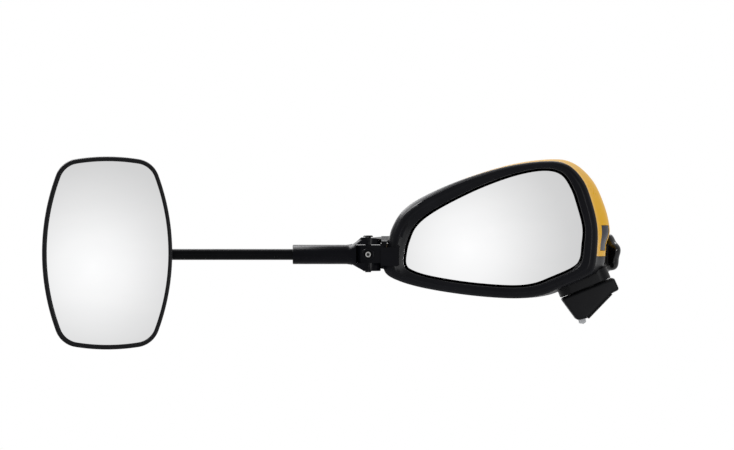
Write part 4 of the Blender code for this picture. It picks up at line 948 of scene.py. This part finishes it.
def strap_rings(stages, low, high, half_z, corner=0.35):
    """Rings of a strap's cross-section, with eased edges, along its path round the housing."""
    rings = []
    for side, stage in stages:
        place, normal = band_place(side, stage)
        near, far = low(side, stage), high(side, stage)
        ring = []
        for out, level in ((near + corner, -half_z), (near, -half_z + corner),
                           (near, half_z - corner), (near + corner, half_z),
                           (far - corner, half_z), (far, half_z - corner),
                           (far, -half_z + corner), (far - corner, -half_z)):
            point = place + normal * out
            ring.append((point.x, point.y, ARM_Z + level))
        rings.append(ring)
    return rings


def make_band():
    stages = stage_list(-1, 0.52, 1.9, 48) + stage_list(1, 1.86, 1.18, 48)
    strap = helper("band_strap", "black_steel", capped,
                   strap_rings(stages, lambda s, t: BAND_OFF + hump(s, t),
                               lambda s, t: BAND_OFF + BAND_THICK + hump(s, t), BAND_HALF_Z))
    holes = [helper("screw_hole", "black_steel", turned, drum(4.4, 0, 30), *screw_frame(), 40)]
    holes += [helper("rivet_hole", "black_steel", turned, drum(2.3, -10, 10), (-224, y, ARM_Z),
                     X_AXIS, 32) for y in RIVET_Y]
    declared(baked("band_strap_steel", strap, cuts(*holes)), "back_band", "housing")
    profile = [(0, 3.4), (2.2, 3.35), (3.0, 3.0), (3.2, 2.6), (3.2, 2.2), (2.0, 2.2),
               (2.0, -3.0), (3.6, -3.0), (3.4, -3.5), (2.4, -3.9), (0, -4.0)]
    for number, y in enumerate(RIVET_Y, 1):
        bm = bmesh.new()
        turned(bm, profile, (-224.3, y, ARM_Z), X_AXIS, 32)
        piece(f"rivet_domed_{number}", bm, f"band_rivet_{number}", "bare_steel", "housing")


KNOB_LOW = BAND_OFF + BAND_HUMP + BAND_THICK + GAP + 5.5
KNOB_LOBE_DEPTH = 1.3
KNOB_PROFILE = [  # (rise, share of the lobed radius)
    (0, 0.76), (0.3, 0.81), (0.9, 0.88), (1.7, 0.94), (2.8, 0.98), (4.2, 1.0), (5.6, 1.0),
    (6.8, 0.99), (7.9, 0.965), (8.8, 0.925), (9.4, 0.875), (9.8, 0.81), (9.97, 0.74),
    (10, 0.68), (9.8, 0.60), (9.3, 0.53), (9.0, 0.45),
]


def make_knob():
    """The lobed hand knob: soft lobes, a crowned face with a shallow dish, and a skirt."""
    place, axis = screw_frame()
    turn = frame_along(axis, place)
    sides = 144
    rings = [circle(turn, 4.3, KNOB_LOW, sides)]
    for rise, share in KNOB_PROFILE:
        ring = []
        for k in range(sides):
            angle = 2 * pi * k / sides
            lobes = KNOB_LOBE_DEPTH * cos(6 * (angle - KNOB_LOBE_AT))
            away = (KNOB_RADIUS - KNOB_LOBE_DEPTH + lobes) * share
            ring.append(turn @ Vector((away * cos(angle), away * sin(angle), KNOB_LOW + rise)))
        rings.append(ring)
    rings += [circle(turn, 5.5, KNOB_LOW + 8.9, sides), circle(turn, 0.5, KNOB_LOW + 9.0, sides)]
    bm = bmesh.new()
    made = strips(bm, rings)
    bm.faces.new(list(reversed(made[-1])))
    floor = [bm.verts.new(p) for p in circle(turn, 4.3, KNOB_LOW + 8.0, sides)]
    bm.faces.new(floor)
    bridge(bm, made[0], floor)
    piece("knob_lobed", bm, "clamp_knob", "gloss_black", "clamp_knob", 50)


def make_spindle():
    """The clamp screw, with a rolled thread between the nut and the knob."""
    place, axis = screw_frame()
    profile = [(0, 3.7), (1.8, 3.7), (2.6, 4.2), (2.6, 6.6), (3.3, 7.6)]
    height = 8.0
    while height < KNOB_LOW - 0.7:
        profile += [(3.4, height), (3.9, height + 0.42), (3.9, height + 0.55),
                    (3.4, height + 0.97)]
        height += 1.25
    profile += [(3.5, KNOB_LOW), (3.9, KNOB_LOW + 0.4), (3.9, KNOB_LOW + 7), (0, KNOB_LOW + 7)]
    bm = bmesh.new()
    turned(bm, profile, place, axis, 48)
    piece("spindle_threaded", bm, "clamp_spindle", "bare_steel", "clamp_knob", 40)


# ---------------------------------------------------------------- foot
def foot_ring(inset):
    """The foot's side outline with its corners rounded, drawn in by an inset."""
    points = [Vector(p) for p in FOOT_POINTS]
    count = len(points)
    inner = []
    for i in range(count):
        before, here, after = (points[(i + k) % count] for k in (-1, 0, 1))
        first, second = (here - before).normalized(), (after - here).normalized()
        inward_1, inward_2 = Vector((-first.y, first.x)), Vector((-second.y, second.x))
        half = (inward_1 + inward_2).normalized()
        inner.append(here + half * (inset / max(half.dot(inward_1), 0.5)))
    ring = []
    radius = max(3.0 - inset, 0.6)
    for i in range(count):
        before, here, after = (inner[(i + k) % count] for k in (-1, 0, 1))
        ring += corner_arc(before, here, after, radius, 0.4, 6)
    return ring


def across_foot(outline, *places):
    """Rings of an (x, z) outline at places in y from the middle of the foot."""
    return [at_depth(outline, FOLD_POINT.y + y) for y in places]


def tail_outline(corners):
    """(along, out) corners about the middle of the foot's tail face, as (x, z) points."""
    low, high = Vector(FOOT_POINTS[1]), Vector(FOOT_POINTS[2])
    along = (high - low).normalized()
    out = Vector((along.y, -along.x))
    return [(low + high) / 2 + along * u + out * h for u, h in corners]


def make_foot():
    """The foot's casting, open on the face that meets the door, with bosses inside and a ring land
    round the tube hole.
    """
    look = "black_plastic"
    levels = [(2.9, -FOOT_HALF_Y), (1.8, -FOOT_HALF_Y + 0.18), (0.9, -FOOT_HALF_Y + 0.7),
              (0.3, -FOOT_HALF_Y + 1.6), (0.0, -FOOT_HALF_Y + 3.0)]
    levels += [(inset, -y) for inset, y in reversed(levels)]
    outside = helper("foot_outside", look, capped,
                     [across_foot(foot_ring(inset), y)[0] for inset, y in levels])
    half = FOOT_HALF_Y - FOOT_WALL
    hollow = helper("foot_hollow", look, capped, across_foot(foot_ring(FOOT_WALL), -half, half))
    corners = [(-16, -20), (8, -20), (8, 20), (-16, 20)]
    mouth = helper("foot_mouth", look, capped,
                   [[door_point(u, v, out) for u, v in corners] for out in (-8, 4)])
    tail = tail_outline([(-4, -8), (4, -8), (4, 8), (-4, 8)])
    slot = helper("foot_slot", look, capped, across_foot(tail, -9.4, 9.4))

    def at_bolts(name, profile):
        return [helper(name, look, turned, profile, door_point(u, v, 0), DOOR_NORMAL, 40)
                for u, v in BOLT_PLACES]

    bosses, bores = at_bolts("boss", drum(5.2, -11.9, -1.3)), at_bolts("bore", drum(3.6, -23, 7))
    land = helper("foot_land", look, turned,
                  rounded([(18.6, -2.0), (18.6, 2.2), (21.4, 2.2), (21.4, -2.0)], 0.5),
                  FOLD_POINT, FOLD_AXIS, 72, True)
    tube = helper("tube_hole", look, turned, drum(8.3, -20, 20), FOLD_POINT, FOLD_AXIS, 48)
    steps = cuts(hollow, mouth, slot) + joins(*bosses) + cuts(*bores) + joins(land) + cuts(tube)
    declared(baked("foot_casting", outside, steps), "foot", "foot")


def door_point(u, v, out):
    return DOOR_ALONG * u + Y_AXIS * (FOLD_POINT.y + v) + DOOR_NORMAL * out


def make_connector():
    """The white plug under the tail, with a lip along its outer edge."""
    outline = tail_outline([(-3.6, -3.9), (3.6, -3.9), (3.6, 3.3), (3.3, 3.7), (0.8, 4.9),
                            (0.2, 4.95), (-3.2, 3.75), (-3.6, 3.4)])
    bm = bmesh.new()
    capped(bm, across_foot(outline, -9, 9))
    plug = piece("connector_plug", bm, "foot_connector", "white_nylon", "foot")
    soften(plug, 0.3, 2, 40)


make_band()
make_knob()
make_spindle()
make_foot()
make_connector()
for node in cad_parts.values():
    slot_name = node.data.materials[0].name.split(".")[0]
    for index in range(len(node.data.materials)):
        node.data.materials[index] = MATERIALS[slot_name]


# ---------------------------------------------------------------- floor, light and camera
FLOOR_MIDDLE, FLOOR_RADIUS = (-240, 480, -190), 1000
VIEW_WIDTH, CAMERA_AWAY, SENSOR = 0.734, 9.0, 36  # metres, metres and millimetres
CAMERA_PLACE = (-0.2376, -9.05, 0.0785)


def make_floor():
    """A pale round floor under the object, clear from below."""
    made, tree, shader = new_material("floor_pale")
    tree.links.new(ramp(tree, noise(tree, coordinates(tree), 3.0), (0.94, 0.94, 0.94),
                        (0.96, 0.96, 0.96)), shader.inputs["Base Color"])
    shader.inputs["Roughness"].default_value = 0.9
    shader.inputs["Specular IOR Level"].default_value = 0.1
    clear = tree.nodes.new("ShaderNodeBsdfTransparent")
    side = tree.nodes.new("ShaderNodeNewGeometry")
    mixed = tree.nodes.new("ShaderNodeMixShader")
    tree.links.new(side.outputs["Backfacing"], mixed.inputs["Fac"])
    tree.links.new(shader.outputs["BSDF"], mixed.inputs[1])
    tree.links.new(clear.outputs["BSDF"], mixed.inputs[2])
    tree.links.new(mixed.outputs["Shader"], tree.nodes["Material Output"].inputs["Surface"])
    bm = bmesh.new()
    bmesh.ops.create_circle(bm, cap_ends=True, segments=96, radius=FLOOR_RADIUS,
                            matrix=Matrix.Translation(FLOOR_MIDDLE))
    mesh = to_metres(bm, "floor")
    mesh.materials.append(made)
    if mesh.polygons[0].normal.z < 0:
        mesh.flip_normals()
    linked("floor", mesh)


def soft_light(name, place, size, power):
    """A soft rectangular light for highlights, placed in metres and aimed at the object."""
    data = bpy.data.lights.new(name, "AREA")
    data.shape = "RECTANGLE"
    data.size, data.size_y = size
    data.energy = power
    made = linked(name, data)
    made.location = place
    away = Vector(place) - Vector(AIM)
    made.rotation_euler = away.to_track_quat("Z", "Y").to_euler()
    made.visible_diffuse = False


def make_world():
    """White all round, a little dimmer in a ring about the way the glass faces."""
    world = bpy.data.worlds.new("studio")
    bpy.context.scene.world = world
    world.use_nodes = True
    tree = world.node_tree
    source = tree.nodes.new("ShaderNodeTexCoord")
    toward = tree.nodes.new("ShaderNodeVectorMath")
    toward.operation = "DOT_PRODUCT"
    toward.inputs[1].default_value = WORLD_AXIS
    tree.links.new(source.outputs["Generated"], toward.inputs[0])
    angle = maths(tree, "ARCCOSINE", toward.outputs["Value"])
    made = tree.nodes.new("ShaderNodeValToRGB")
    spread = ranged(tree, angle, 0.0, pi, 0.0, 1.0)
    tree.links.new(spread, made.inputs["Fac"])
    stops = made.color_ramp.elements
    for index, (at, level) in enumerate(WORLD_LEVELS):
        stop = stops[index] if index < 2 else stops.new(at / 180)
        stop.position = at / 180
        stop.color = (level, level, level * 1.003, 1)
    path = tree.nodes.new("ShaderNodeLightPath")
    lit = tree.nodes["Background"]
    tree.links.new(made.outputs["Color"], lit.inputs["Color"])
    seen = node_of(tree, "ShaderNodeBackground", Color=(1, 1, 1, 1), Strength=1.0)
    mixed = tree.nodes.new("ShaderNodeMixShader")
    tree.links.new(path.outputs["Is Camera Ray"], mixed.inputs["Fac"])
    tree.links.new(lit.outputs["Background"], mixed.inputs[1])
    tree.links.new(seen.outputs["Background"], mixed.inputs[2])
    tree.links.new(mixed.outputs["Shader"], tree.nodes["World Output"].inputs["Surface"])


# The way the glass faces, and the light's level by degrees from it: first both ends, then between
WORLD_AXIS = Vector((sin(radians(-1.9)), -cos(radians(1.9)), sin(radians(-1.5)))).normalized()
WORLD_LEVELS = [(0, 1.0), (180, 0.95), (3, 0.92), (6, 0.78), (9, 0.66), (12, 0.60), (45, 0.45),
                (75, 0.60), (95, 0.95)]


def make_camera():
    data = bpy.data.cameras.new("camera")
    data.sensor_width = SENSOR
    data.lens = SENSOR * CAMERA_AWAY / VIEW_WIDTH
    data.clip_end = 200
    made = linked("camera", data)
    made.location = CAMERA_PLACE
    made.rotation_euler = (radians(90), 0, 0)
    bpy.context.scene.camera = made


make_floor()
make_world()
AIM = (-0.25, -0.03, 0.05)
soft_light("top_left", (-1.3, 0.25, 1.5), (1.5, 0.9), 80)
soft_light("rim_left", (-1.5, 1.0, 1.1), (1.6, 1.6), 40)
soft_light("top_back", (-0.1, 1.1, 1.6), (1.6, 0.9), 24)
soft_light("front_right", (1.4, -3.5, 0.2), (0.5, 1.2), 34)
make_camera()
bpy.context.scene.view_settings.view_transform = "Standard"
